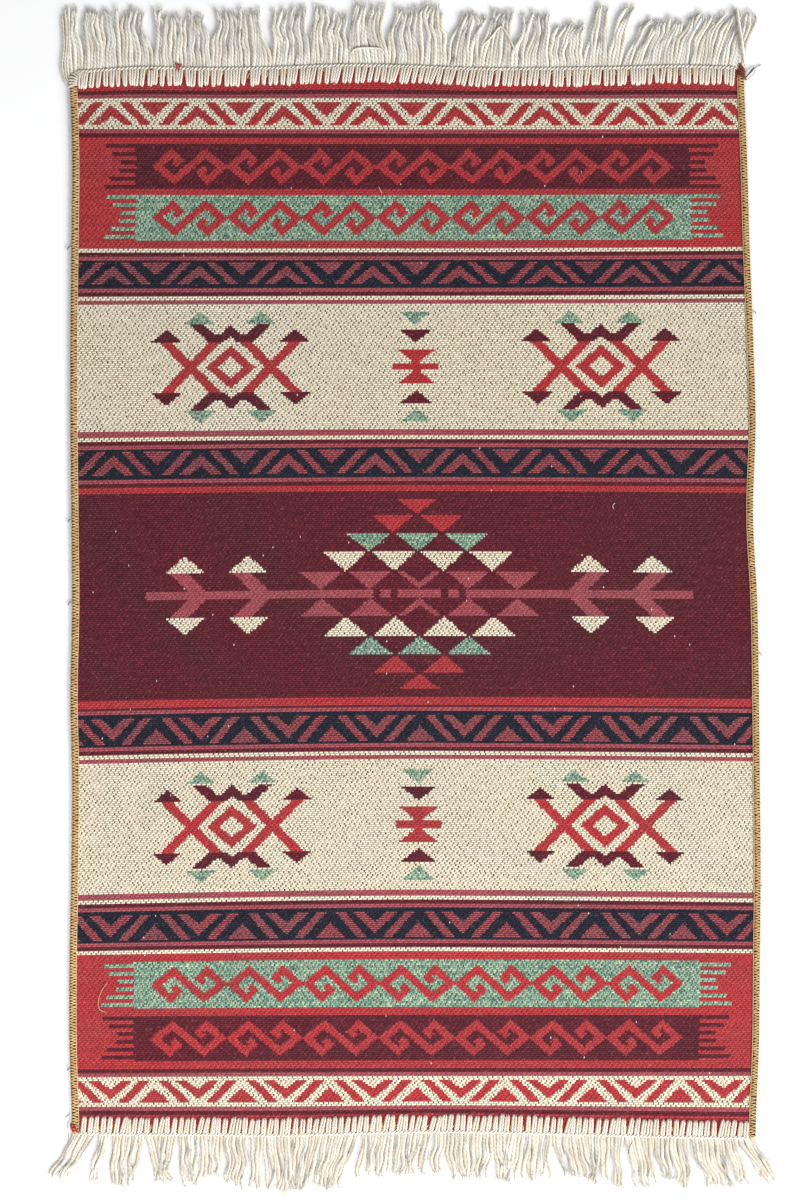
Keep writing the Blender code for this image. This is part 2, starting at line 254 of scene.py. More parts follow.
# Triangles: yarn, x of the middle, y of the point and of the base, half-width
STAR_TIPS = (("maroon", 75.5, 44.6, 29.6, 18.3), ("green", 35.6, 65.4, 50.4, 18.2))
STACK_TIPS = (("green", 0, 48.5, 64.6, 18.2), ("maroon", 0, 27.7, 43.5, 19.8))


def height_on(line, x):
    """y of a line of points at each x, the points listed from the outside in."""
    return np.interp(x, *zip(*line[::-1]))


def star(x, y):
    x, y = abs(x), abs(y)
    rise = ARM_SLANT * y
    arm = (abs(x - ARM_PLACE - rise) <= ARM_WIDE) | (abs(x - ARM_PLACE + rise) <= ARM_WIDE)
    yield "red", arm & (y <= ARM_END)
    for yarn, wide, tall in DIAMONDS:
        yield yarn, x / wide + y / tall <= 1
    crown = (y > ARM_END) & (y <= height_on(CROWN, x)) & (y >= height_on(CROWN_FOOT, x))
    yield "maroon", crown & (x < CROWN[0][0])
    yield from triangles(x, y, STAR_TIPS)


def stack(x, y):
    y = abs(y)
    yield from triangles(x, y, STACK_TIPS)
    yield "red", (abs(x) <= max(5.0, 23.6 * (y - 2.5) / 18.5)) & (y <= 21.0)
    yield "red", (abs(x) <= 26.9) & (y <= 4.6)


def stars(x, y, band):
    level = y - band.height / 2
    for middle_x in (-STAR_OFFSET, STAR_OFFSET):
        yield from star(x - middle_x, level)
    yield from stack(x, level)


# %% The middle band: a stepped medallion between two barbed arrows
MEDALLION_ROWS = (
    # yarn, triangles in the row, y of their points and of their bases from the middle
    ("red", 1, 92.6, 110.6),
    ("red", 2, 71.0, 91.2),
    ("green", 3, 49.3, 69.2),
    ("cream", 4, 26.4, 48.2),
    ("rose", 5, 5.0, 25.2),
)
STEP_ACROSS, TRIANGLE_HALF = 57.4, 24.9
# The notch in the middle rose triangle: y of its point, and its half-width
NOTCH_TIP, NOTCH_HALF = 12.8, 16.6
BARBS = (-274, -200, 200, 274)
# A barb: x of its middle, slant, height and half-width, then the tip's height and half-width
BARB_MIDDLE, BARB_SLANT, BARB_HEIGHT, BARB_WIDE, TIP_HEIGHT, TIP_WIDE = 8.0, 1.03, 26.4, 10.4, 45.4, 22.8
BAR_HALF_LENGTH, BAR_HALF = 320, 4.7
# The two ovals on the bar: their distance from the middle, half-sizes, and the bar seen inside
OVAL_PLACE, OVAL_WIDE, OVAL_TALL, OVAL_INSIDE = 39.9, 14.6, 13.8, 6.0


def medallion(x, y, band):
    level = abs(y - band.height / 2)
    for yarn, count, tip, base in MEDALLION_ROWS:
        for k in range(count):
            shift = (k - (count - 1) / 2) * STEP_ACROSS
            inside = triangle(x - shift, level, tip, base, TRIANGLE_HALF)
            if yarn == "rose" and shift == 0:
                inside &= ~triangle(x, level, NOTCH_TIP, base, NOTCH_HALF)
            yield yarn, inside
    for place in BARBS:
        out = (x - place) * math.copysign(1, place)
        barb = abs(out - BARB_MIDDLE + BARB_SLANT * (BARB_HEIGHT - 0.2 - level)) <= BARB_WIDE
        yield "rose", barb & (level <= BARB_HEIGHT)
        yield "cream", triangle(out, level, TIP_HEIGHT, BARB_HEIGHT, TIP_WIDE)
    yield "rose", (abs(x) <= BAR_HALF_LENGTH) & (level <= BAR_HALF)
    for shift in (-OVAL_PLACE, OVAL_PLACE):
        yield "maroon", ((x - shift) / OVAL_WIDE) ** 2 + (level / OVAL_TALL) ** 2 <= 1
        yield "rose", (abs(x - shift) <= OVAL_INSIDE) & (level <= BAR_HALF)


# %% Chart every row
FIGURES = {"zigzag": zigzag, "hooks": hooks, "stars": stars, "medallion": medallion}
# A weaver never turns back at quite the same warp, so each row is off by up to this many mm
ROW_JOG = 0.7
jog = random.Random(5)
row_jogs = [jog.uniform(-ROW_JOG, ROW_JOG) for row in range(ROWS)]


def chart_row(row):
    """The yarn number of each cell in a row."""
    first = 0
    for rows, ground, *figure in BANDS:
        if row < first + rows:
            break
        first += rows
    yarns = np.full(WARPS, YARNS.index(ground))
    if figure:
        name, shift = figure
        x = (np.arange(WARPS) + 0.5) * CELL - WIDTH / MM / 2 - shift + row_jogs[row]
        y = (row - first + 0.5) * ROW
        band = Band(rows * ROW, ground, name.startswith("falling"))
        for yarn, inside in FIGURES[name.split()[-1]](x, y, band):
            yarns[inside] = YARNS.index(yarn)
    yarns[:EDGE_WARPS] = yarns[-EDGE_WARPS:] = YARNS.index("edge")
    return yarns


chart = [chart_row(row) for row in range(ROWS)]
for number, yarn in enumerate(YARNS):
    share = sum((yarns == number).mean() for yarns in chart) / ROWS
    print(f"{yarn} shows in {share:.0%} of the cells")


# %% [markdown]
# ## The cloth as a mesh
#
# The cloth is one thin sheet. Its faces are runs of one yarn in one row, so the pattern is real cloth,
# woven through: the underside shows the same figures. Both sides and the rim close into one mesh.
# A painted picture on a plain sheet would be quicker, but it would blur when seen from close by.

# %% Build the cloth
# Warps between two columns of the grid, above and below, and the plain margin at the right side
GRID_STEP, UNDERSIDE_STEP, GRID_MARGIN = 16, 64, 8
EDGE_COLUMNS = (0, 3, 6, WARPS - 6, WARPS - 3, WARPS)
OVERLOCK_WIDTH, STITCH_LENGTH = 8 * MM, 15 * MM
# Heights in mm: free cloth, cloth pressed under the overlock, cloth pressed under the end stitches
TOP_HEIGHTS, UNDERSIDE_HEIGHTS = (2.6, 3.0, 2.2), (0.3, 1.7, 0.7)


def run_ends(row, step):
    """Warps where a run of one yarn ends in a row, also cut at the columns of a grid."""
    changes = np.flatnonzero(chart[row][1:] != chart[row][:-1]) + 1
    return sorted(set(changes) | set(EDGE_COLUMNS) | set(range(step, WARPS - GRID_MARGIN, step)))


def cloth_heights(across, down, heights, waves):
    """Height of one side of the cloth: eased down at the edges, with slow waves between them."""
    free, at_side, at_end = heights
    side = np.clip(np.minimum(across, 1 - across) * WIDTH / OVERLOCK_WIDTH, 0, 1)
    end = np.clip(np.minimum(down, 1 - down) * LENGTH / STITCH_LENGTH, 0, 1)
    slow = np.sin(23 * down + 5 * np.sin(4 * across)) * np.sin(11 * across + 3 * np.sin(9 * down))
    height = free + waves * slow
    height = height + (1 - side) * (at_side - height)
    return MM * (height + (1 - end) * (at_end - height))


class ClothMesh:
    """Points, faces, yarns and two sets of flat coordinates, gathered side by side."""

    def __init__(self):
        self.points, self.faces, self.yarns, self.corners = [], [], [], []

    def add_side(self, step, heights, waves, upward):
        rows = [run_ends(row, step) for row in range(ROWS)]
        lines = [set(rows[0])] + [set(a) | set(b) for a, b in zip(rows, rows[1:])] + [set(rows[-1])]
        for last, row in ((0, 0), (ROWS, ROWS - 1)):
            lines[last] |= set(run_ends(row, GRID_STEP))
        lines = [sorted(line) for line in lines]
        places = np.array([(warp / WARPS, k / ROWS) for k, line in enumerate(lines) for warp in line])
        x, y = cloth_point(places[:, 0], places[:, 1])
        z = cloth_heights(places[:, 0], places[:, 1], heights, waves)
        index, count = [], len(self.points)
        for line in lines:
            index.append({warp: count + k for k, warp in enumerate(line)})
            count += len(line)
        self.points += list(zip(x, y, z))
        for row, cuts in enumerate(rows):
            for first, last, yarn in zip(cuts, cuts[1:], chart[row][cuts[:-1]]):
                near = [w for w in lines[row + 1] if first <= w <= last]
                far = [w for w in reversed(lines[row]) if first <= w <= last]
                loop = [(w, row + 1) for w in near] + [(w, row) for w in far]
                self.add_face([index[k][w] for w, k in loop], loop, yarn, upward)
        return lines, index

    def add_face(self, face, corners, yarn, keep_order):
        self.faces.append(face if keep_order else face[::-1])
        self.corners += corners if keep_order else corners[::-1]
        self.yarns.append(int(yarn))


shell = ClothMesh()
lines, top = shell.add_side(GRID_STEP, TOP_HEIGHTS, 0.2, True)
top_corners = len(shell.corners)
under = shell.add_side(UNDERSIDE_STEP, UNDERSIDE_HEIGHTS, 0.1, False)[1]
under_corners = len(shell.corners)
for k in range(ROWS):
    for warp, order, place in ((0, True, 0), (WARPS, False, -1)):
        face = [top[k][warp], under[k][warp], under[k + 1][warp], top[k + 1][warp]]
        corners = [(warp, k), (warp, k), (warp, k + 1), (warp, k + 1)]
        shell.add_face(face, corners, chart[k][place], order)
for line, row, order in ((0, 0, False), (ROWS, ROWS - 1, True)):
    for first, last in zip(lines[line], lines[line][1:]):
        face = [top[line][first], under[line][first], under[line][last], top[line][last]]
        corners = [(first, line), (first, line), (last, line), (last, line)]
        shell.add_face(face, corners, chart[row][first], order)

cloth_mesh = bpy.data.meshes.new("woven_cloth")
cloth_mesh.from_pydata(shell.points, [], shell.faces)
cloth = bpy.data.objects.new("woven_cloth", cloth_mesh)
bpy.context.scene.collection.objects.link(cloth)
print("cloth:", len(shell.points), "points,", len(shell.faces), "faces,", len(shell.corners), "corners")

# %% [markdown]
# Two sets of flat coordinates go onto the cloth. One counts warps and rows, and the weave's shading
# reads it. The other packs both sides into one square, for whoever bakes the looks into pictures.

# %% Flat coordinates
corners = np.array(shell.corners, float)
weave_map = cloth_mesh.uv_layers.new(name="weave")
weave_map.data.foreach_set("uv", corners.ravel())
packed = np.empty_like(corners)
packed[:, 0] = 0.003 + 0.994 * corners[:, 1] / ROWS
packed[:, 1] = 0.355 + 0.642 * corners[:, 0] / WARPS
packed[top_corners:under_corners, 1] = 0.003 + 0.342 * corners[top_corners:under_corners, 0] / WARPS
packed[under_corners:, 1] = np.tile((0.353, 0.347, 0.347, 0.353), (len(corners) - under_corners) // 4)
cloth_mesh.uv_layers.new(name="OFBake").data.foreach_set("uv", packed.ravel())
cloth_mesh.polygons.foreach_set("material_index", shell.yarns)

# %% [markdown]
# ## How the weave shades
#
# Each row of weft floats over three warps and dips under the fourth. The dip moves one step with each
# row, in the order that gives small broken diagonals. One node group works this out for all yarns:
# where a dip is, where a row's edges are, how far a float bulges, and a chance value for each float.
# Each yarn's material then turns those masks into its own colours, with painted shade in the dips,
# where the warp shows too, and along the edges of each row.

# %% A small helper for node trees
class Nodes:
    """Adds nodes to a tree. What goes into a socket is a plain value or another node's output."""

    def __init__(self, tree):
        self.tree = tree

    def put(self, sockets, values):
        """Fills sockets, each found by its name or number."""
        for name, value in values.items():
            if isinstance(value, bpy.types.NodeSocket):
                self.tree.links.new(value, sockets[name])
            else:
                sockets[name].default_value = value

    def add(self, kind, values=None, **settings):
        node = self.tree.nodes.new(kind)
        for name, value in settings.items():
            setattr(node, name, value)
        self.put(node.inputs, values or {})
        return node

    def geometry(self, kind, values, **settings):
        return self.add("GeometryNode" + kind, values, **settings).outputs[0]

    def math(self, operation, a, b=0.0, c=0.0):
        return self.add("ShaderNodeMath", {0: a, 1: b, 2: c}, operation=operation).outputs[0]

    def times(self, a, b, plus=None):
        if plus is None:
            return self.math("MULTIPLY", a, b)
        return self.math("MULTIPLY_ADD", a, b, plus)

    def plus(self, a, b):
        return self.math("ADD", a, b)

    def minus(self, a, b):
        return self.math("SUBTRACT", a, b)

    def vector(self, x=0.0, y=0.0, z=0.0):
        return self.add("ShaderNodeCombineXYZ", {0: x, 1: y, 2: z}).outputs[0]

    def span(self, value, low, high, to_low=0.0, to_high=1.0, kind="SMOOTHSTEP"):
        values = {0: value, 1: low, 2: high, 3: to_low, 4: to_high}
        return self.add("ShaderNodeMapRange", values, interpolation_type=kind).outputs[0]

    def noise(self, place, scale, detail=2.0):
        values = {"Vector": place, "Scale": scale, "Detail": detail}
        return self.add("ShaderNodeTexNoise", values).outputs[0]

    def chance(self, place):
        return self.add("ShaderNodeTexWhiteNoise", {"Vector": place}, noise_dimensions="3D").outputs[0]

    def mix(self, share, a, b):
        values = {0: share, 6: a, 7: b}
        return self.add("ShaderNodeMix", values, data_type="RGBA").outputs[2]


def shader_group(name, inputs, outputs):
    """A shader node group with named sockets, and its input and output nodes."""
    tree = bpy.data.node_groups.new(name, "ShaderNodeTree")
    for socket, kind in inputs:
        tree.interface.new_socket(socket, in_out="INPUT", socket_type=kind)
    for socket in outputs:
        tree.interface.new_socket(socket, in_out="OUTPUT", socket_type="NodeSocketFloat")
    nodes = Nodes(tree)
    return nodes, nodes.add("NodeGroupInput").outputs, nodes.add("NodeGroupOutput").inputs, tree


# %% The weave's masks
# Warps from one dip to the next, and how far from a dip's middle it is whole and where it ends, as
# shares of a float
FLOAT_WARPS, TIE_WHOLE, TIE_END = 4.0, 0.085, 0.165

nodes, given, result, weave_group = shader_group(
    "weave masks", [("Place", "NodeSocketVector")],
    ["Tie", "Tone", "Odd", "Slow Tone", "Row Edge Shade", "Height", "Fleck", "Fleck Tone"],
)
place = nodes.add("ShaderNodeSeparateXYZ", {0: given["Place"]}).outputs
bend = nodes.noise(given["Place"], 0.45)
warp = nodes.plus(place[0], nodes.span(bend, 0, 1, -0.45, 0.45))
weft = nodes.plus(place[1], nodes.span(bend, 0, 1, 0.12, -0.12))
row = nodes.math("FLOOR", weft)
# The order of the dips: one warp further with each row, and the last two rows of four swapped
step = nodes.math("FLOORED_MODULO", row, FLOAT_WARPS)
late = nodes.math("GREATER_THAN", step, 1.5)
turn = nodes.times(late, nodes.times(step, -2.0, 5.0))
along = nodes.math("DIVIDE", nodes.minus(warp, nodes.plus(step, turn)), FLOAT_WARPS)
float_number = nodes.math("FLOOR", along)
t = nodes.math("FRACT", along)
from_tie = nodes.minus(nodes.math("FRACT", nodes.plus(t, 0.375)), 0.5)
from_tie = nodes.math("ABSOLUTE", from_tie)
across = nodes.math("ABSOLUTE", nodes.times(nodes.math("FRACT", weft), 2.0, -1.0))
rounded = nodes.math("SQRT", nodes.minus(1.0, nodes.math("POWER", across, 2.0)))
bulge = nodes.span(from_tie, 0.04, 0.3)


def stretched(warps, rows, line=row, z=0.0):
    """A place for a noise, drawn out along the weft."""
    return nodes.vector(nodes.times(warp, warps), nodes.times(line, rows), z)


fibre = nodes.noise(stretched(0.7, 3.2, weft), 1.0, 3.0)
heather = nodes.span(nodes.noise(stretched(1.0, 5.3), 0.8, 3.0), 0.3, 0.7)
float_chance = nodes.chance(nodes.vector(float_number, row, 0.0))
height = nodes.times(rounded, nodes.times(bulge, 0.75, 0.25))
speck = nodes.math("LESS_THAN", nodes.math("ABSOLUTE", nodes.minus(t, 0.6)), 0.08)
nodes.put(result, {
    "Tie": nodes.span(from_tie, TIE_WHOLE, TIE_END, 1.0, 0.0),
    "Tone": nodes.times(float_chance, 0.35, nodes.times(heather, 0.65)),
    "Odd": nodes.noise(stretched(0.6, 3.7, z=9.0), 1.0),
    "Slow Tone": nodes.noise(stretched(0.02, 0.73), 1.0),
    # Painted shade where two rows meet
    "Row Edge Shade": nodes.span(across, 0.4, 1.0),
    "Height": nodes.times(fibre, 0.35, height),
    "Fleck": nodes.times(nodes.chance(nodes.vector(float_number, row, 7.0)), speck),
    "Fleck Tone": nodes.chance(nodes.vector(row, float_number, 5.0)),
})
print("the weave group puts out", [socket.name for socket in result if socket.name])

# %% [markdown]
# ## The yarns
#
# Wool and cotton yarns are spun from dyed fibre that is never one colour. Each yarn has a light and
# a dark shade, an odd shade that some floats take, the colour of its dips, and how many flecks of
# other fibre it carries. The colour of the dips is partly the warp that shows there and partly painted
# shade in the gap, and it is painted as shade along the edges of each row too. Dyeing a single flat
# colour would look printed.

# %% One material for each yarn
def colour(red, green, blue):
    """A screen colour, 0 to 255, as the linear light that a shader needs."""
    parts = [part / 255 for part in (red, green, blue)]
    return tuple(p / 12.92 if p <= 0.04045 else ((p + 0.055) / 1.055) ** 2.4 for p in parts) + (1.0,)


YARN_LOOKS = {
    # light, dark, odd shade, amount of odd shade, dip colour (warp and painted shade), depth of dips,
    # depth of painted shade along row edges, share of flecks
    "cream": ((237, 227, 207), (204, 192, 168), (200, 174, 132), 0.12, (50, 44, 42), 1.0, 0.26, 0.002),
    "red": ((188, 67, 66), (150, 44, 51), (180, 84, 80), 0.14, (84, 24, 36), 0.72, 0.24, 0.002),
    "maroon": ((114, 44, 52), (70, 24, 34), (138, 60, 68), 0.16, (40, 16, 26), 0.40, 0.70, 0.004),
    "rose": ((178, 94, 98), (138, 62, 72), (120, 58, 72), 0.12, (78, 32, 44), 0.62, 0.42, 0.002),
    "navy": ((46, 46, 60), (22, 22, 32), (70, 64, 78), 0.16, (10, 10, 18), 0.50, 0.40, 0.003),
    "green": ((200, 216, 184), (82, 120, 104), (50, 88, 86), 0.28, (36, 62, 58), 1.0, 0.28, 0.001),
    "thin_rose": ((174, 92, 94), (132, 62, 70), (74, 46, 58), 0.20, (28, 24, 36), 0.62, 1.00, 0.002),
    "edge": ((120, 88, 58), (80, 56, 38), (132, 98, 62), 0.12, (44, 30, 22), 0.60, 0.40, 0.0),
}
FLECKS = (colour(224, 214, 204), colour(178, 52, 60))


def new_material(name, roughness, specular, sheen):
    """A new material, its node helper and its shader's sockets."""
    material = bpy.data.materials.new(name)
    material.use_nodes = True
    nodes = Nodes(material.node_tree)
    shader = material.node_tree.nodes["Principled BSDF"].inputs
    nodes.put(shader, {
        "Roughness": roughness, "Specular IOR Level": specular,
        "Sheen Weight": sheen, "Sheen Roughness": 0.6,
    })
    return material, nodes, shader


def yarn_material(name):
    light, dark, odd, odd_share, dip, dip_shade_depth, row_shade_depth, fleck_share = YARN_LOOKS[name]
    material, nodes, shader = new_material("yarn " + name, 0.92, 0.12, 0.03)
    place = nodes.add("ShaderNodeUVMap", uv_map="weave").outputs[0]
    masks = nodes.add("ShaderNodeGroup", {"Place": place}, node_tree=weave_group).outputs
    body = nodes.mix(masks["Tone"], colour(*dark), colour(*light))
    body = nodes.mix(nodes.span(masks["Slow Tone"], 0.3, 0.7, 0.0, 0.45), body, colour(*dark))
    is_odd = nodes.span(masks["Odd"], 0.66 - 0.5 * odd_share, 0.76 - 0.5 * odd_share)
    body = nodes.mix(nodes.times(is_odd, 0.7), body, colour(*odd))
    # Painted shade along the edges of each row, in the dip colour
    body = nodes.mix(nodes.times(masks["Row Edge Shade"], row_shade_depth), body, colour(*dip))
    # Painted shade in the dips, where the warp shows too, at a chance depth
    dip_shade = nodes.times(masks["Fleck Tone"], 0.65 * dip_shade_depth, 0.40 * dip_shade_depth)
    body = nodes.mix(nodes.times(masks["Tie"], dip_shade), body, colour(*dip))
    fleck = nodes.mix(nodes.math("GREATER_THAN", masks["Fleck Tone"], 0.5), *FLECKS)
    is_fleck = nodes.math("GREATER_THAN", masks["Fleck"], 1 - fleck_share)
    body = nodes.mix(nodes.times(is_fleck, 0.7), body, fleck)
    bump = {"Strength": 0.8, "Distance": 0.0009, "Height": masks["Height"]}
    nodes.put(shader, {"Base Color": body, "Normal": nodes.add("ShaderNodeBump", bump).outputs[0]})
    return material


for yarn in YARNS:
    cloth_mesh.materials.append(yarn_material(yarn))
print("materials on the cloth:", len(cloth_mesh.materials))

# %% [markdown]
# ## Twisted cotton
#
# The fringe, the stitches and the thread along the sides are twisted from two finer strands. The
# twist shows as short slanted grooves, with their shade painted into the colour. It is too fine to
# model on hundreds of yarns, so a second group works it out from where a point lies on the rug.

# %% Cotton thread materials
nodes, given, result, twist_group = shader_group(
    "thread twist",
    [("Place", "NodeSocketVector"), ("Pitch", "NodeSocketFloat"), ("Start", "NodeSocketFloat")],
    ["Groove Shade", "Height", "Tone"],
)
place = nodes.add("ShaderNodeSeparateXYZ", {0: given["Place"]}).outputs
turns = nodes.math("DIVIDE", nodes.times(place[0], 1.1, place[1]), given["Pitch"])
turns = nodes.math("FRACT", nodes.plus(turns, given["Start"]))
ridge = nodes.math("SINE", nodes.times(turns, math.pi))
nodes.put(result, {
    "Groove Shade": nodes.minus(1.0, ridge),
    "Height": nodes.times(nodes.noise(given["Place"], 900.0, 3.0), 0.6, ridge),
    "Tone": nodes.noise(given["Place"], 60.0, 3.0),
})
# Light passes into a yarn thicker than this many mm, so its shaded side is never dark
SOFT_FROM = 2


def thread_material(name, light, dark, groove_shade, pitch, thickness):
    material, nodes, shader = new_material(name, 0.9, 0.05, 0.1)
    if thickness > SOFT_FROM:
        nodes.put(shader, {
            "Subsurface Weight": 0.6, "Subsurface Radius": (1.0, 0.9, 0.8),
            "Subsurface Scale": 0.6 * thickness * MM,
        })
    shade = nodes.add("ShaderNodeAttribute", attribute_name="shade").outputs["Fac"]
    masks = nodes.add("ShaderNodeGroup", {
        "Place": nodes.add("ShaderNodeTexCoord").outputs["Object"], "Pitch": pitch * MM,
        # Neighbouring threads differ in shade, so their grooves don't line up either
        "Start": nodes.times(shade, 17.0),
    }, node_tree=twist_group).outputs
    tone = nodes.times(shade, 0.5, nodes.times(nodes.span(masks["Tone"], 0.3, 0.7), 0.5))
    body = nodes.mix(tone, colour(*light), colour(*dark))
    # Painted shade in the twist's grooves
    depth = nodes.times(nodes.math("POWER", masks["Groove Shade"], 1.6), 0.7)
    body = nodes.mix(depth, body, colour(*groove_shade))
    bump = {"Strength": 0.6, "Distance": 0.0006, "Height": masks["Height"]}
    nodes.put(shader, {"Base Color": body, "Normal": nodes.add("ShaderNodeBump", bump).outputs[0]})
    return material


# name, light and dark colours, colour of the painted shade in the grooves, length of one turn of
# the twist, and thickness, in mm
THREAD_LOOKS = (
    ("fringe cotton", (250, 244, 232), (201, 192, 178), (190, 179, 160), 5.2, 3.9),
    ("stitch cotton", (237, 230, 218), (218, 207, 193), (168, 152, 138), 3.6, 3.3),
    ("gold thread", (238, 208, 156), (206, 164, 106), (116, 78, 42), 1.4, 1.3),
    ("stray thread", (230, 218, 196), (208, 192, 166), (160, 140, 110), 1.4, 0.8),
    ("red thread", (196, 62, 66), (160, 44, 54), (96, 26, 36), 1.4, 1.8),
    ("rust thread", (176, 106, 78), (108, 56, 42), (66, 34, 28), 1.4, 1.8),
    ("dark thread", (70, 66, 56), (44, 40, 36), (24, 22, 20), 1.4, 0.6),
)
THREADS = {look[0].split()[0]: thread_material(*look) for look in THREAD_LOOKS}
print("thread materials:", list(THREADS))

# %% [markdown]
# ## Threads from geometry nodes
#
# Hundreds of threads repeat along the edges. One tree sets a short thread on every point of a row,
# turned and stretched as the point says. Another grows a loose yarn from every point and bends it.
# A third lays twisted strands along a line. Each tree's sizes are named inputs that can be changed.

# %% Geometry tree helpers
def geometry_tree(name, inputs):
    """A geometry node group with named inputs. Returns its helper, inputs, output and sockets' keys."""
    tree = bpy.data.node_groups.new(name, "GeometryNodeTree")
    tree.interface.new_socket("Geometry", in_out="INPUT", socket_type="NodeSocketGeometry")
    tree.interface.new_socket("Geometry", in_out="OUTPUT", socket_type="NodeSocketGeometry")
    keys = {}
    for socket, kind in inputs:
        made = tree.interface.new_socket(socket, in_out="INPUT", socket_type="NodeSocket" + kind)
        keys[socket] = made.identifier
    nodes = Nodes(tree)
    return nodes, nodes.add("NodeGroupInput").outputs, nodes.add("NodeGroupOutput").inputs, keys


def read(nodes, name, kind="FLOAT"):
    return nodes.add("GeometryNodeInputNamedAttribute", {"Name": name}, data_type=kind).outputs["Attribute"]


def vector_math(nodes, operation, a, b):
    """Works on two vectors. SCALE takes a factor in place of the second."""
    second = "Scale" if operation == "SCALE" else 1
    return nodes.add("ShaderNodeVectorMath", {0: a, second: b}, operation=operation).outputs[0]


def sweep(nodes, curve, radius, given, result, flatness=1.0):
    """Ends a tree: curves become closed tubes of its material, pressed flat by a factor."""
    profile = nodes.geometry("CurvePrimitiveCircle", {"Resolution": given["Sides"], "Radius": 1.0})
    curve = nodes.geometry("SetCurveRadius", {"Curve": curve, "Radius": radius})
    tube = nodes.geometry(
        "CurveToMesh", {"Curve": curve, "Profile Curve": profile, "Scale": radius, "Fill Caps": True}
    )
    tube = nodes.geometry("Transform", {0: tube, "Scale": nodes.vector(1.0, 1.0, flatness)})
    tube = nodes.geometry("RealizeInstances", {0: nodes.geometry("SetShadeSmooth", {0: tube})})
    done = nodes.geometry("SetMaterial", {"Geometry": tube, "Material": given["Material"]})
    nodes.put(result, {0: done})


def taper(nodes, start, end, closes_from=0.94):
    """1 along a thread, smaller near its start and end."""
    share = nodes.add("GeometryNodeSplineParameter").outputs["Factor"]
    opening = nodes.span(share, 0.0, 0.06, start, 1.0)
    return nodes.times(opening, nodes.span(share, closes_from, 1.0, 1.0, end))


def run_tree(tree_and_keys, points, edges, attributes, inputs, name):
    """Evaluates a tree on points or lines and gives the plain mesh that it makes."""
    tree, keys = tree_and_keys
    source = bpy.data.meshes.new(name)
    source.from_pydata([tuple(p) for p in points], edges, [])
    for attribute, values in attributes.items():
        values = np.array(values, float)
        kind, field = ("FLOAT_VECTOR", "vector") if values.ndim == 2 else ("FLOAT", "value")
        source.attributes.new(attribute, kind, "POINT").data.foreach_set(field, values.ravel())
    holder = bpy.data.objects.new(name + "_source", source)
    bpy.context.scene.collection.objects.link(holder)
    modifier = holder.modifiers.new("threads", "NODES")
    modifier.node_group = tree
    for socket, value in inputs.items():
        modifier[keys[socket]] = value
    bpy.context.view_layer.update()
    graph = bpy.context.evaluated_depsgraph_get()
    mesh = bpy.data.meshes.new_from_object(holder.evaluated_get(graph), depsgraph=graph)
    bpy.data.objects.remove(holder)
    mesh.name = name
    print(f"{name}: {len(mesh.polygons)} faces")
    return mesh


# %% The three thread trees
nodes, given, result, keys = geometry_tree(
    "repeated thread",
    [("Thread", "Object"), ("Thickness", "Float"), ("Sides", "Int"), ("Material", "Material")],
)
threads = nodes.geometry("InstanceOnPoints", {
    "Points": given["Geometry"],
    "Instance": nodes.add("GeometryNodeObjectInfo", {"Object": given["Thread"]}).outputs["Geometry"],
    "Rotation": read(nodes, "turn", "FLOAT_VECTOR"), "Scale": read(nodes, "stretch", "FLOAT_VECTOR"),
})
threads = nodes.geometry("MeshToCurve", {0: nodes.geometry("RealizeInstances", {0: threads})})
half = nodes.times(given["Thickness"], 0.5)
sweep(nodes, threads, nodes.times(half, taper(nodes, 0.6, 0.6)), given, result)
REPEATED_THREAD = nodes.tree, keys

nodes, given, result, keys = geometry_tree(
    "loose yarns",
    [("Start", "Float"), ("Steps", "Int"), ("Thickness", "Float"), ("Sides", "Int"), ("Waves", "Float"),
     ("Wave Length", "Float"), ("End Width", "Float"), ("Flatness", "Float"), ("Seed", "Float"),
     ("Material", "Material")],
)
unit = nodes.geometry("CurvePrimitiveLine", {"Start": (0, 0, 0), "End": (0, 0, 0.001)})
unit = nodes.geometry("ResampleCurve", {"Curve": unit, "Count": given["Steps"]})
yarns = nodes.geometry("InstanceOnPoints", {"Points": given["Geometry"], "Instance": unit})
yarns = nodes.geometry("RealizeInstances", {0: yarns})
factor = nodes.add("GeometryNodeSplineParameter").outputs["Factor"]
share = nodes.span(factor, 0.0, 1.0, given["Start"], 1.0, "LINEAR")
bow = nodes.times(nodes.times(share, nodes.minus(1.0, share)), 4.0)
# A yarn reaches out, bows to one side, and splays at its end
gone, bowed, splayed = (
    vector_math(nodes, "SCALE", read(nodes, name, "FLOAT_VECTOR"), amount)
    for name, amount in (("reach", share), ("bend", bow), ("splay", nodes.math("POWER", factor, 1.4)))
)
moved = vector_math(nodes, "ADD", vector_math(nodes, "ADD", gone, bowed), splayed)
scale = nodes.math("DIVIDE", 1.0, given["Wave Length"])
strength = nodes.times(given["Waves"], nodes.math("POWER", share, 0.7))
# Neighbours in a tuft wave together, and each yarn waves a little by itself
for number, amount in (("tuft", (0.9, 0.2, 0.03)), ("own", (0.66, 0.2, 0.05))):
    start = nodes.vector(nodes.times(read(nodes, number), 9.0), given["Seed"], 0.0)
    values = {"Vector": vector_math(nodes, "ADD", gone, start), "Scale": scale, "Detail": 1.0}
    wander = nodes.add("ShaderNodeTexNoise", values).outputs["Color"]
    wander = vector_math(nodes, "SUBTRACT", wander, (0.5, 0.5, 0.5))
    wander = vector_math(nodes, "MULTIPLY", wander, amount)
    moved = vector_math(nodes, "ADD", moved, vector_math(nodes, "SCALE", wander, strength))
yarns = nodes.geometry("SetPosition", {"Geometry": yarns, "Offset": moved})
half = nodes.times(nodes.times(given["Thickness"], 0.5), read(nodes, "girth"))
radius = nodes.times(half, taper(nodes, 0.9, given["End Width"], 0.86))
sweep(nodes, yarns, radius, given, result, given["Flatness"])
LOOSE_YARNS = nodes.tree, keys

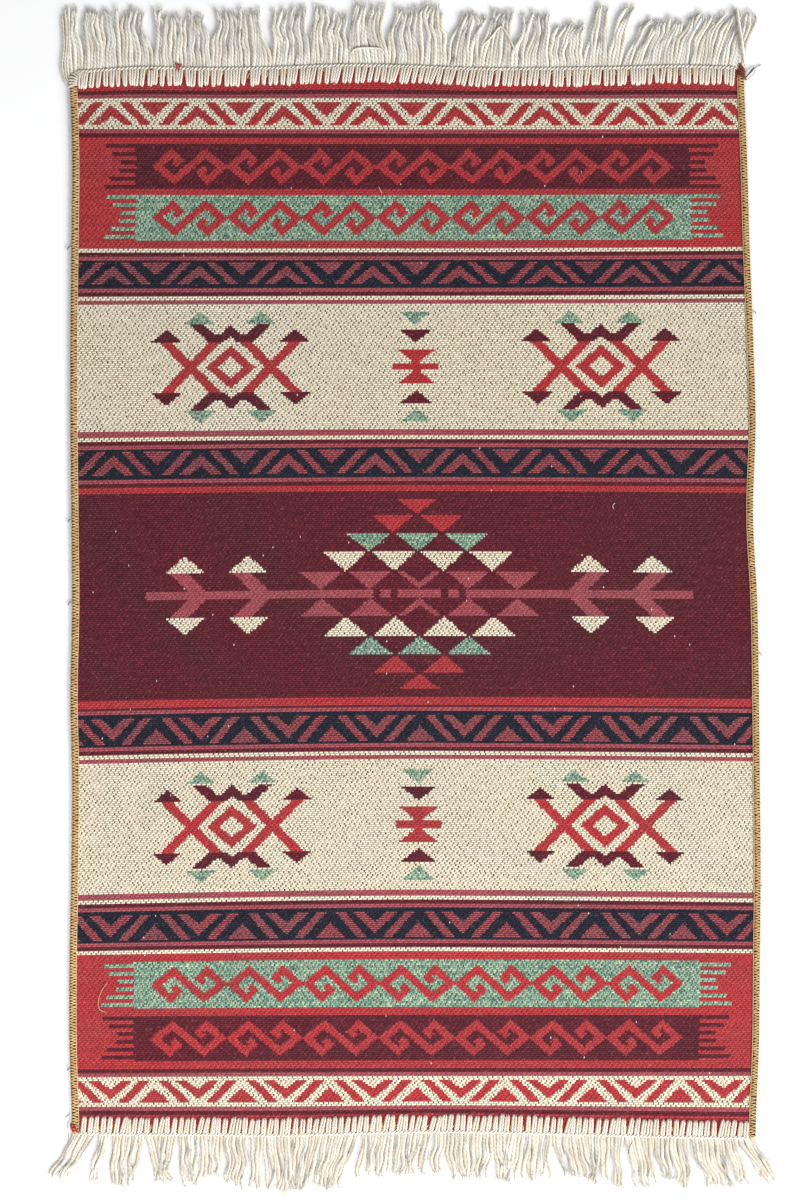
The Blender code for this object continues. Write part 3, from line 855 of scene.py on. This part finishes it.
nodes, given, result, keys = geometry_tree(
    "twisted strands",
    [("Spacing", "Float"), ("Pitch", "Float"), ("Offset", "Float"), ("Thickness", "Float"),
     ("Sides", "Int"), ("Material", "Material")],
)
line = nodes.geometry("MeshToCurve", {0: given["Geometry"]})
line = nodes.geometry("ResampleCurve", {"Curve": line, "Length": given["Spacing"]}, mode="LENGTH")
strands = nodes.add("GeometryNodeJoinGeometry")
gone = nodes.add("GeometryNodeSplineParameter").outputs["Length"]
for start in (0.0, math.pi):
    turned = nodes.times(nodes.math("DIVIDE", gone, given["Pitch"]), 2 * math.pi, start)
    side = nodes.times(nodes.math("SINE", turned), given["Offset"])
    rise = nodes.times(nodes.math("COSINE", turned), given["Offset"])
    values = {"Geometry": line, "Offset": nodes.vector(0.0, side, rise)}
    nodes.put(strands.inputs, {0: nodes.geometry("SetPosition", values)})
sweep(nodes, strands.outputs[0], nodes.times(given["Thickness"], 0.5), given, result)
TWISTED_STRANDS = nodes.tree, keys


def piece_from(name, meshes):
    """One object from the meshes of its threads, with all their materials."""
    parts = [bpy.data.objects.new(name, mesh) for mesh in meshes]
    for part in parts:
        bpy.context.scene.collection.objects.link(part)
    with bpy.context.temp_override(
        object=parts[0], active_object=parts[0], selected_objects=parts, selected_editable_objects=parts
    ):
        bpy.ops.object.join()
    parts[0].name = name
    return parts[0]


# %% [markdown]
# ## The fringe
#
# The fringe is the warp itself, left long when the cloth was cut from the loom. Its yarns gather
# into tufts, and each tuft leans its own way, so each has a row in a table. The yarns lie on the
# floor, some across others.

# %% Fringe yarns
# Each tuft: locks of two yarns, sideways lean in mm, tip width over root width, length in mm
FAR_TUFTS = (
    (2, -9, 0.9, 75), (3, 0, 0.75, 70), (3, -5, 0.8, 70), (2, 0, 0.8, 70), (3, -5, 0.5, 66),
    (4, 0, 0.85, 68), (5, -2, 0.9, 64), (6, -1, 0.7, 68), (3, -8, 0.6, 66), (6, 3, 0.75, 68),
    (3, -1, 0.7, 69), (3, 1, 0.8, 63), (6, 0, 0.75, 70), (5, 6, 0.75, 69), (4, 0, 0.8, 72),
    (5, 9, 0.75, 63), (5, 7, 0.6, 68), (6, 6, 0.8, 66), (5, 10, 0.9, 54), (4, 10, 0.5, 71),
    (2, 18, 0.8, 70), (8, 23, 0.7, 56), (3, 18, 0.8, 62), (3, 17, 0.8, 61), (5, 16, 0.85, 64),
)
NEAR_TUFTS = (
    (4, -30, 0.9, 54), (2, -16, 0.8, 57), (4, -6, 0.9, 60), (1, -8, 0.8, 54), (2, 21, 0.9, 56),
    (3, -9, 0.7, 54), (4, 0, 0.7, 60), (3, -3, 0.8, 52), (4, -2, 0.8, 60), (2, 0, 0.8, 60),
    (4, 3, 0.8, 64), (5, -8, 0.7, 62), (6, -19, 0.5, 62), (1, -4, 1.0, 50), (3, -10, 0.9, 52),
    (4, -8, 0.9, 52), (3, -8, 0.8, 50), (2, -3, 0.9, 50), (3, -2, 0.8, 55), (4, -3, 0.7, 55),
    (2, 0, 0.8, 55), (3, -8, 0.8, 54), (2, -4, 0.8, 55), (2, -6, 0.7, 52), (3, 8, 0.8, 50),
    (6, 2, 0.7, 56), (2, 2, 0.8, 62), (3, 12, 0.8, 60), (4, 5, 0.8, 54), (3, 5, 0.8, 60),
    (4, 14, 0.9, 60), (3, 20, 0.9, 56), (3, 25, 0.9, 52),
)
STITCHES = 104
YARNS_PER_LOCK = 2
# Height of the yarns' roots, how far they come down from it, and how far pressed flat they lie
YARN_HEIGHT, YARN_DROP, YARN_FLATNESS = 5.2 * MM, 2.6 * MM, 0.5
WHOLE_YARN = {"Start": 0.0, "Steps": 11, "Thickness": 5.0 * MM, "Sides": 6, "End Width": 0.4}
# Near its tip each yarn comes undone into this many fine strands
FRAYS = 9
FRAYED_STRAND = {"Start": 0.84, "Steps": 5, "Thickness": 0.8 * MM, "Sides": 3, "End Width": 0.5}
# Chance heights in mm: a whole tuft over its neighbours, and one yarn over the others
TUFT_LIFTS, YARN_LIFTS = (0.0, 0.0, 1.0), (0.0, 0.0, 0.5, 1.3)
# Chance differences between yarns in mm: in lean, in length and in bow
LEAN_SPREAD, LENGTH_SPREAD, BOW_SPREAD = 2.0, (-7, 3), 1.0
# By end: bow as a share of the lean, and extra shade. Light falls harder on the near end, so its
# cotton is made darker, and no yarn is darker than the last number
BOWS, END_SHADES, DARKEST = (0.2, 0.06), (0.0, 1.1), 1.5
# Direction out of each end along y: 0 is the far end and 1 the near one
OUTWARD = (1, -1)


def spot(across, down):
    """One point of the cloth, as two plain numbers in metres."""
    return tuple(float(value) for value in cloth_point(across, float(down)))


def fringe_strands(end, strands, name, sizes):
    """The mesh of some strands: rows of root, reach, bend, splay, girth, shade, tuft and own number."""
    roots, *columns = zip(*strands)
    attributes = dict(zip(("reach", "bend", "splay", "girth", "shade", "tuft", "own"), columns))
    inputs = sizes | {
        "Waves": 25 * MM, "Wave Length": 34 * MM, "Flatness": YARN_FLATNESS, "Seed": 3.0 + end,
        "Material": THREADS["fringe"],
    }
    return run_tree(LOOSE_YARNS, roots, [], attributes, inputs, name)


def fringe(end, tufts, name):
    """All yarns of one end."""
    chance = random.Random(31 + end)
    out = OUTWARD[end]
    yarns, frays = [], []
    used = 0
    for number, (locks, lean, spread, length) in enumerate(tufts):
        middle = (used + locks / 2) / STITCHES
        tuft_shade = chance.uniform(0.0, 0.3) + END_SHADES[end]
        tuft_lift = chance.choice(TUFT_LIFTS) * MM
        for k in range(YARNS_PER_LOCK * locks):
            across = (used + (k + 0.5) / YARNS_PER_LOCK) / STITCHES
            x, y = spot(across, end)
            side = (across - middle) * WIDTH * (spread * 0.95 - 1)
            side += (lean + chance.gauss(0, LEAN_SPREAD)) * MM
            gone = (length + chance.uniform(*LENGTH_SPREAD)) * MM
            lift = tuft_lift + chance.choice(YARN_LIFTS) * MM
            root_x = x + chance.uniform(-0.5, 0.5) * MM
            root = (root_x, y - out * MM, YARN_HEIGHT + chance.uniform(0, 0.7) * MM)
            reach = (side, out * gone, -YARN_DROP)
            bend = (-side * BOWS[end] + chance.gauss(0, BOW_SPREAD) * MM, 0.0, lift)
            shade = min(DARKEST, max(0.0, tuft_shade + chance.uniform(-0.3, 0.45)))
            own = chance.random()
            girth = chance.uniform(0.8, 1.14)
            yarns.append((root, reach, bend, (0, 0, 0), girth, shade, number / 10, own))
            for fray in range(FRAYS):
                off = (chance.gauss(0, 2.2), out * chance.uniform(0, 7), chance.uniform(-0.7, 0.7))
                off = tuple(value * MM for value in off)
                girth = chance.uniform(0.7, 1.3)
                # Painted light: frays are lighter than their yarn, against the shade their thin strands
                # cast
                frays.append((root, reach, bend, off, girth, 0.3 * shade, number / 10, own))
        used += locks
    return piece_from(name, [
        fringe_strands(end, yarns, name, WHOLE_YARN),
        fringe_strands(end, frays, name, FRAYED_STRAND),
    ])


fringes = [
    fringe(0, FAR_TUFTS, "far_fringe"),
    fringe(1, NEAR_TUFTS, "near_fringe"),
]

# %% [markdown]
# ## The end stitches
#
# A doubled cotton thread is looped over each cut end, so that the weft can't slip off. Each stitch
# comes up from below, lies over the cloth, and goes down through it. A twisted line of the same
# cotton runs along the edge and ties the loops together.

# %% Lay one thread many times, or twist two strands along a line
def edges_along(points):
    return [(k, k + 1) for k in range(len(points) - 1)]


def lay_threads(name, path, rows, thickness, material):
    """A thread along a path in mm, laid once for each row of place, turn, stretch and shade."""
    mesh = bpy.data.meshes.new(name + "_line")
    mesh.from_pydata([Vector(p) * MM for p in path], edges_along(path), [])
    line = bpy.data.objects.new(name + "_line", mesh)
    points, turns, stretches, shade = zip(*rows)
    attributes = {
        "turn": [(0.0, 0.0, turn) for turn in turns], "stretch": stretches, "shade": shade,
    }
    inputs = {"Thread": line, "Thickness": thickness * MM, "Sides": 5, "Material": THREADS[material]}
    laid = run_tree(REPEATED_THREAD, points, [], attributes, inputs, name)
    bpy.data.objects.remove(line)
    return laid


def twist_strands(name, points, sizes, material):
    """Two strands twisted along a line of points."""
    keys = ("Spacing", "Pitch", "Offset", "Thickness")
    inputs = {key: size * MM for key, size in zip(keys, sizes)}
    inputs |= {"Sides": 5, "Material": THREADS[material]}
    return run_tree(TWISTED_STRANDS, points, edges_along(points), {}, inputs, name)


# %% Stitches and the line that ties them
# One strand of a stitch, in mm: aside from its middle, outward from the cloth's end, and height
STITCH_LINE = (
    (0.4, -18.2, 1.8), (0.8, -18.7, 3.0), (1.35, -16.4, 4.1), (1.5, -9.0, 4.1), (1.45, -1.8, 4.0),
    (1.3, 1.2, 3.0), (1.3, 0.4, 1.9), (1.3, -5.0, 1.9),
)
# The overlock that was sewn under the stitches, to be seen only between them
BIT_LINE = ((-0.8, -2.6, 2.4), (-0.5, -1.8, 3.3), (0.1, 0, 3.5), (0.5, 1.8, 3.3), (0.8, 2.6, 2.4))
# Slant of the stitches at each end. Round the middle of the far one, over a share of its width,
# they slant further
SLANTS, MIDDLE_SLANT, MIDDLE_SHARE = (-0.04, -0.13), -0.2, 0.14
STITCH_THICKNESS, BIT_THICKNESS = 3.3, 1.5
# Extra shade by end: painted shade that makes the near end's stitches darker, as light falls
# harder there
STITCH_SHADES = (0.0, 0.9)
# Share of the gaps between stitches in which bits of the overlock show, and how far in they lie
SHOWN_GAPS, BIT_INSETS = 0.75, (3.0, 5.5, 8.0)
# The tying line in mm: spacing of its points, one turn, each strand's distance from the line's
# middle, and thickness. Then the line's height, and how far past the cloth's end it lies
TYING_LINE, TYING_HEIGHT, TYING_OUT = (1.3, 9.5, 1.15, 2.3), 3.6, 0.6
# The tying line's first place, its share of the width, and in how many steps it is laid
TYING_START, TYING_SHARE, TYING_STEPS = 0.012, 0.976, 120


def place_of_stitch(number):
    """Share across of a stitch, counted between the two overlocks."""
    margin = OVERLOCK_WIDTH / WIDTH + 0.0004
    return margin + (number + 0.5) / STITCHES * (1 - 2 * margin)


def stitches(end, name):
    chance = random.Random(51 + end)
    rows = []
    for number in range(STITCHES):
        across = place_of_stitch(number)
        x, y = spot(across, end)
        slant = chance.gauss(SLANTS[end], 0.05)
        if end == 0:
            slant += MIDDLE_SLANT * math.exp(-((across - 0.5) / MIDDLE_SHARE) ** 2)
        length = chance.uniform(0.93, 1.05)
        tone = chance.uniform(0.0, 0.8) + STITCH_SHADES[end]
        x += chance.gauss(0, 0.6) * MM
        for strand in (-1, 1):
            turn = slant + chance.gauss(0, 0.015) + end * math.pi
            stretch = (strand * chance.uniform(0.9, 1.1), length * chance.uniform(0.97, 1.03), 1.0)
            rows.append(((x, y, 0.0), turn, stretch, tone))
    return lay_threads(name, STITCH_LINE, rows, STITCH_THICKNESS, "stitch")


def tying_line(end, name):
    shares = [TYING_START + k / TYING_STEPS * TYING_SHARE for k in range(TYING_STEPS + 1)]
    places = [spot(share, end) for share in shares]
    points = [(x, y + OUTWARD[end] * TYING_OUT * MM, TYING_HEIGHT * MM) for x, y in places]
    return twist_strands(name, points, TYING_LINE, "stitch")


def glimpses(end, name):
    """Short bits of overlock thread that show in some of the gaps between the stitches."""
    chance = random.Random(61 + end)
    rows = []
    for number in range(STITCHES - 1):
        if chance.random() > SHOWN_GAPS:
            continue
        for inset in BIT_INSETS[: chance.choice((2, 3))]:
            x, y = spot(place_of_stitch(number + 0.5), end)
            x += chance.gauss(0, 0.4) * MM
            y -= OUTWARD[end] * (inset + chance.uniform(-0.6, 0.6)) * MM
            turn = chance.uniform(-0.5, 0.5)
            stretch = (1.0, chance.uniform(0.8, 1.2), 1.0)
            rows.append(((x, y, 0.0), turn, stretch, chance.uniform(0, 1)))
    return lay_threads(name, BIT_LINE, rows, BIT_THICKNESS, "gold")


headings = []
for end, name in ((0, "far_stitches"), (1, "near_stitches")):
    headings.append(piece_from(name, [stitches(end, name), tying_line(end, name), glimpses(end, name)]))

# %% [markdown]
# ## The overlocked sides
#
# A machine wraps thread round each long side in a close zigzag. From above each stitch is a small
# arrow head that points outward. The same thread shows below.

# %% Overlock thread
OVERLOCK_PITCH, OVERLOCK_THICKNESS = 3.5, 1.35
# x inward from the cloth's side, y along it as a share of the pitch, height in mm
OVERLOCK_LOOP = (
    (7.4, 0.0, 2.5), (7.2, 0.03, 3.3), (4.5, 0.2, 3.8), (1.2, 0.42, 3.9), (-0.3, 0.5, 3.4),
    (-0.6, 0.52, 2.7), (-0.2, 0.54, 2.0), (1.5, 0.6, 1.6), (4.5, 0.8, 1.2), (7.2, 0.97, 0.9),
    (7.5, 1.0, 1.5),
)
OVERLOCK_BACK = tuple((x, 1.0 - share, height) for x, share, height in OVERLOCK_LOOP[:7])
# The line that the loops catch: sizes as for the tying line, inset, height and number of points
INNER_LINE, INNER_INSET, INNER_HEIGHT, INNER_POINTS = (1.2, OVERLOCK_PITCH, 0.3, 1.0), 7.4, 3.1, 320
# Where each side's overlock starts, as a share of the length: cotton wraps the far left corner instead
SIDE_STARTS, SIDE_STOP = (0.016, 0.008), 0.999
# Direction inward from each side along x: 0 is the left side and 1 the right one
INWARD = (1, -1)


def side_line(side, inset, height, count):
    """Points along one side of the cloth, at a distance in from it in mm."""
    start = SIDE_STARTS[side]
    places = [spot(float(side), start + (SIDE_STOP - start) * k / (count - 1)) for k in range(count)]
    return [(x + INWARD[side] * inset * MM, y, height * MM) for x, y in places]


def overlock(side, name):
    chance = random.Random(71 + side)
    count = int((SIDE_STOP - SIDE_STARTS[side]) * LENGTH / OVERLOCK_PITCH / MM)
    meshes = []
    for loop in (OVERLOCK_LOOP, OVERLOCK_BACK):
        path = [(INWARD[side] * x, (0.5 - share) * OVERLOCK_PITCH, z) for x, share, z in loop]
        rows = []
        for x, y, z in side_line(side, 0.0, 0.0, count):
            place = (x + chance.gauss(0, 0.15) * MM, y + chance.gauss(0, 0.2) * MM, z)
            turn = chance.gauss(0, 0.05)
            stretch = tuple(chance.uniform(*span) for span in ((0.94, 1.04), (0.95, 1.1), (0.97, 1.03)))
            rows.append((place, turn, stretch, chance.uniform(0, 1)))
        meshes.append(lay_threads(name, path, rows, OVERLOCK_THICKNESS, "gold"))
    inner = side_line(side, INNER_INSET, INNER_HEIGHT, INNER_POINTS)
    meshes.append(twist_strands(name, inner, INNER_LINE, "gold"))
    return piece_from(name, meshes)


overlocks = [overlock(0, "left_overlock"), overlock(1, "right_overlock")]

# %% [markdown]
# ## Loose ends
#
# The thread ends were cut and left. At the far right rust thread whips the end of the overlock, and a
# dark tail sticks out. Cotton wraps the far left corner. At the near left is a red knot. A few wisps
# stick out along the sides, and three stray bits of pale thread lie on the cloth.

# %% Loose thread ends
LOOSE_THREADS = (
    # thread, thickness in mm, and the points that the thread follows in mm: x, y and height
    ("fringe", 3.6,
     ((-397, 606, 2.0), (-402, 613, 2.1), (-404, 632, 2.1), (-402, 655, 2.0), (-403, 696, 1.9))),
    ("fringe", 3.6,
     ((-400, 603, 1.9), (-405, 612, 2.0), (-407, 630, 2.0), (-405, 653, 1.9), (-407, 692, 1.8))),
    ("fringe", 3.0,
     ((-401, 600, 1.6), (-406, 608, 1.7), (-410, 626, 1.7), (-408, 650, 1.6), (-410, 685, 1.5))),
    ("fringe", 2.4,
     ((-73, 639, 3.2), (-69, 645, 4.6), (-60, 647, 5.2), (-48, 647, 5.2), (-38, 646, 4.6),
      (-33, 640, 3.0))),
    ("fringe", 3.5, ((389, 626, 3.2), (386, 645, 6.4), (383, 665, 6.2), (379, 694, 3.4))),
    ("dark", 1.5, ((389, 612, 2.4), (394, 618, 3.4), (397, 622, 2.6), (400, 625, 1.4))),
    ("dark", 0.8, ((391, 614, 2.4), (397, 620, 2.8), (402, 625, 1.6), (408, 628, 0.6))),
    ("dark", 0.5, ((391, 610, 2.0), (398, 616, 2.4), (401, 622, 1.0))),
    ("red", 3.2, ((-399.5, -611, 2.8), (-398.5, -617, 4.0), (-394.5, -623, 2.4))),
    ("red", 3.0, ((-396, -612, 2.8), (-395, -616, 4.2), (-391.5, -622, 2.6))),
    ("fringe", 2.2, ((80, 648, 3.4), (92, 660, 4.3), (103, 672, 4.5), (112, 660, 4.5), (124, 634, 3.4))),
    ("dark", 0.8, ((256, -633, 5.0), (253, -640, 5.4), (252, -646, 5.0))),
    ("stray", 0.5, ((-398, -604, 2.0), (-404, -612, 1.0), (-403, -625, 0.5), (-404, -634, 0.4))),
    ("stray", 0.6,
     ((-357, -446, 3.1), (-364, -456, 3.5), (-368, -469, 3.7), (-366, -478, 3.5), (-358, -481, 3.1))),
    ("stray", 1.0, ((-40, 485, 3.1), (-38, 481, 3.5), (-36, 477, 3.2))),
    ("stray", 0.9, ((237, 115, 3.1), (234, 112, 3.4), (235, 108, 3.1))),
    ("red", 1.8, ((-278, 618, 3.0), (-276, 624, 6.0), (-277, 629, 5.4), (-273, 627, 3.4))),
    ("red", 1.6, ((-274, 617, 3.0), (-273, 623, 6.0), (-270, 628, 4.8))),
    ("red", 1.5, ((-307, 618, 3.0), (-306, 622, 5.8), (-303, 620, 4.2))),
)
# Dark wisps at the sides: x of the side, y, and how far the wisp sticks out, all in mm
WISPS = ((-400, 415, -5), (-400, 96, -4), (-399, -1, -5), (-400, -546, -5), (-401, -601, -6),
         (398, 340, 4), (405, -60, 4), (405, -330, 4))
# Cotton wraps fan out about a point near the far left corner
FAN_X, FAN_Y, FAN_RADIUS, FANNED = -383, 603, 19, 9
# Each wrap: share of the radius, turn in radians, and height in mm
FAN_WRAP = ((0.97, 0.08, 1.8), (1.0, 0.05, 3.0), (0.9, 0.0, 4.3), (0.62, -0.08, 4.4), (0.5, -0.1, 3.2))
# Rust wraps cross the far right corner, one above the other, each a little narrower: x, y above the
# wrap's start, and height
RUST_WRAP = (
    (390, 0, 1.8), (389.6, 0.6, 3.2), (387, 2.2, 4.4), (383, 4.4, 4.8), (380, 6.0, 4.4), (379, 6.5, 3.0),
)
RUST_STARTS, RUST_MIDDLE, RUST_NARROWER = (610, 613, 616, 619, 622), 385, 0.12
FAN_THICKNESS, RUST_THICKNESS, WISP_THICKNESS = 2.6, 2.3, 0.9


def corner_wraps():
    """Threads that lie across the cloth's far corners."""
    for k in range(FANNED):
        angle = math.pi * (1 - 0.49 * k / (FANNED - 1))
        # A radius that is longer between the two sides, as the corner is
        radius = FAN_RADIUS * (abs(math.cos(angle)) ** 3 + math.sin(angle) ** 3) ** (-1 / 3)
        turns = [(radius * share, angle + turn, height) for share, turn, height in FAN_WRAP]
        wrap = [(FAN_X + r * math.cos(a), FAN_Y + r * math.sin(a), height) for r, a, height in turns]
        yield "stitch", FAN_THICKNESS, wrap
    for k, start in enumerate(RUST_STARTS):
        width = 1 - RUST_NARROWER * k
        wrap = [(RUST_MIDDLE + (x - RUST_MIDDLE) * width, start + rise, z) for x, rise, z in RUST_WRAP]
        yield "rust", RUST_THICKNESS, wrap


def loose_thread(number, material, thickness, points):
    columns = [smooth(column, np.linspace(0, 1, 4 * len(points) - 3)) for column in zip(*points)]
    rows = [((0, 0, 0), 0.0, (1, 1, 1), 0.5 + 0.4 * (number % 2))]
    return lay_threads(f"loose_{number}", list(zip(*columns)), rows, thickness, material)


loose_ends = list(LOOSE_THREADS)
for x, y, out in WISPS:
    points = ((x, y, 3.4), (x + 0.5 * out, y - 1, 2.6), (x + out, y - 4, 1.2))
    loose_ends.append(("dark", WISP_THICKNESS, points))
loose_ends += corner_wraps()
wisps = piece_from("loose_threads", [loose_thread(k, *thread) for k, thread in enumerate(loose_ends)])

# %% [markdown]
# ## Fit the pieces to the frame
#
# Every piece moves with the one body, and each piece but the loose threads stands for the solid that it
# dresses, which is hidden.

# %% Attach the pieces and hide their solids
for piece in (cloth, *overlocks, *headings, *fringes, wisps):
    print(f"{piece.name}: {sum(len(face.vertices) - 2 for face in piece.data.polygons)} triangles")
for piece, node, slot in (
    (cloth, "cloth", "cloth"),
    (overlocks[0], "overlock_left", "overlock"),
    (overlocks[1], "overlock_right", "overlock"),
    (headings[0], "heading_far", "heading"),
    (headings[1], "heading_near", "heading"),
    (fringes[0], "fringe_far", "fringe"),
    (fringes[1], "fringe_near", "fringe"),
):
    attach(piece, "root")
    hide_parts(node)
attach(wisps, "root")

# %% [markdown]
# ## Floor, light and camera
#
# The rug lies on a pale floor in a bright room. One wide soft light stands low on the right, towards
# the near end, so that shadows fall softly to the far left. The camera looks straight down.

# %% Stage
scene = bpy.context.scene
FLOOR_HALF, FLOOR_DROP = 6, 0.0002
floor_mesh = bpy.data.meshes.new("floor")
square = [(x * FLOOR_HALF, y * FLOOR_HALF, 0) for x, y in ((-1, -1), (1, -1), (1, 1), (-1, 1))]
floor_mesh.from_pydata(square, [], [(0, 1, 2, 3)])
floor = bpy.data.objects.new("floor", floor_mesh)
floor.location.z = -FLOOR_DROP
scene.collection.objects.link(floor)
floor_material, nodes, shader = new_material("pale floor", 0.8, 0.5, 0.0)
nodes.put(shader, {"Base Color": (0.9, 0.9, 0.905, 1)})
floor_mesh.materials.append(floor_material)


def soft_light(name, place, size, power, tint):
    """A square area light that looks at the rug."""
    data = bpy.data.lights.new(name, "AREA")
    data.size, data.energy, data.color = size, power, tint
    lamp = bpy.data.objects.new(name, data)
    lamp.location = place
    lamp.rotation_euler = (Vector((0, 0, 0)) - Vector(place)).to_track_quat("-Z", "Y").to_euler()
    scene.collection.objects.link(lamp)


soft_light("window", (4.6, -3.3, 2.9), 3.4, 650, (1.0, 0.99, 0.975))
soft_light("lamp", (-0.4, -1.3, 1.5), 1.0, 22, (1.0, 0.99, 0.98))
world = bpy.data.worlds.new("room")
world.use_nodes = True
sky = world.node_tree.nodes["Background"].inputs
Nodes(world.node_tree).put(sky, {"Color": (0.94, 0.965, 1.0, 1), "Strength": 0.38})
scene.world = world
scene.view_settings.view_transform = "Standard"

camera_data = bpy.data.cameras.new("camera")
camera_data.sensor_fit, camera_data.sensor_height, camera_data.lens = "VERTICAL", 36, 85
camera = bpy.data.objects.new("camera", camera_data)
camera.location = (-0.0149, 0.0013, 3.318)
scene.collection.objects.link(camera)
scene.camera = camera
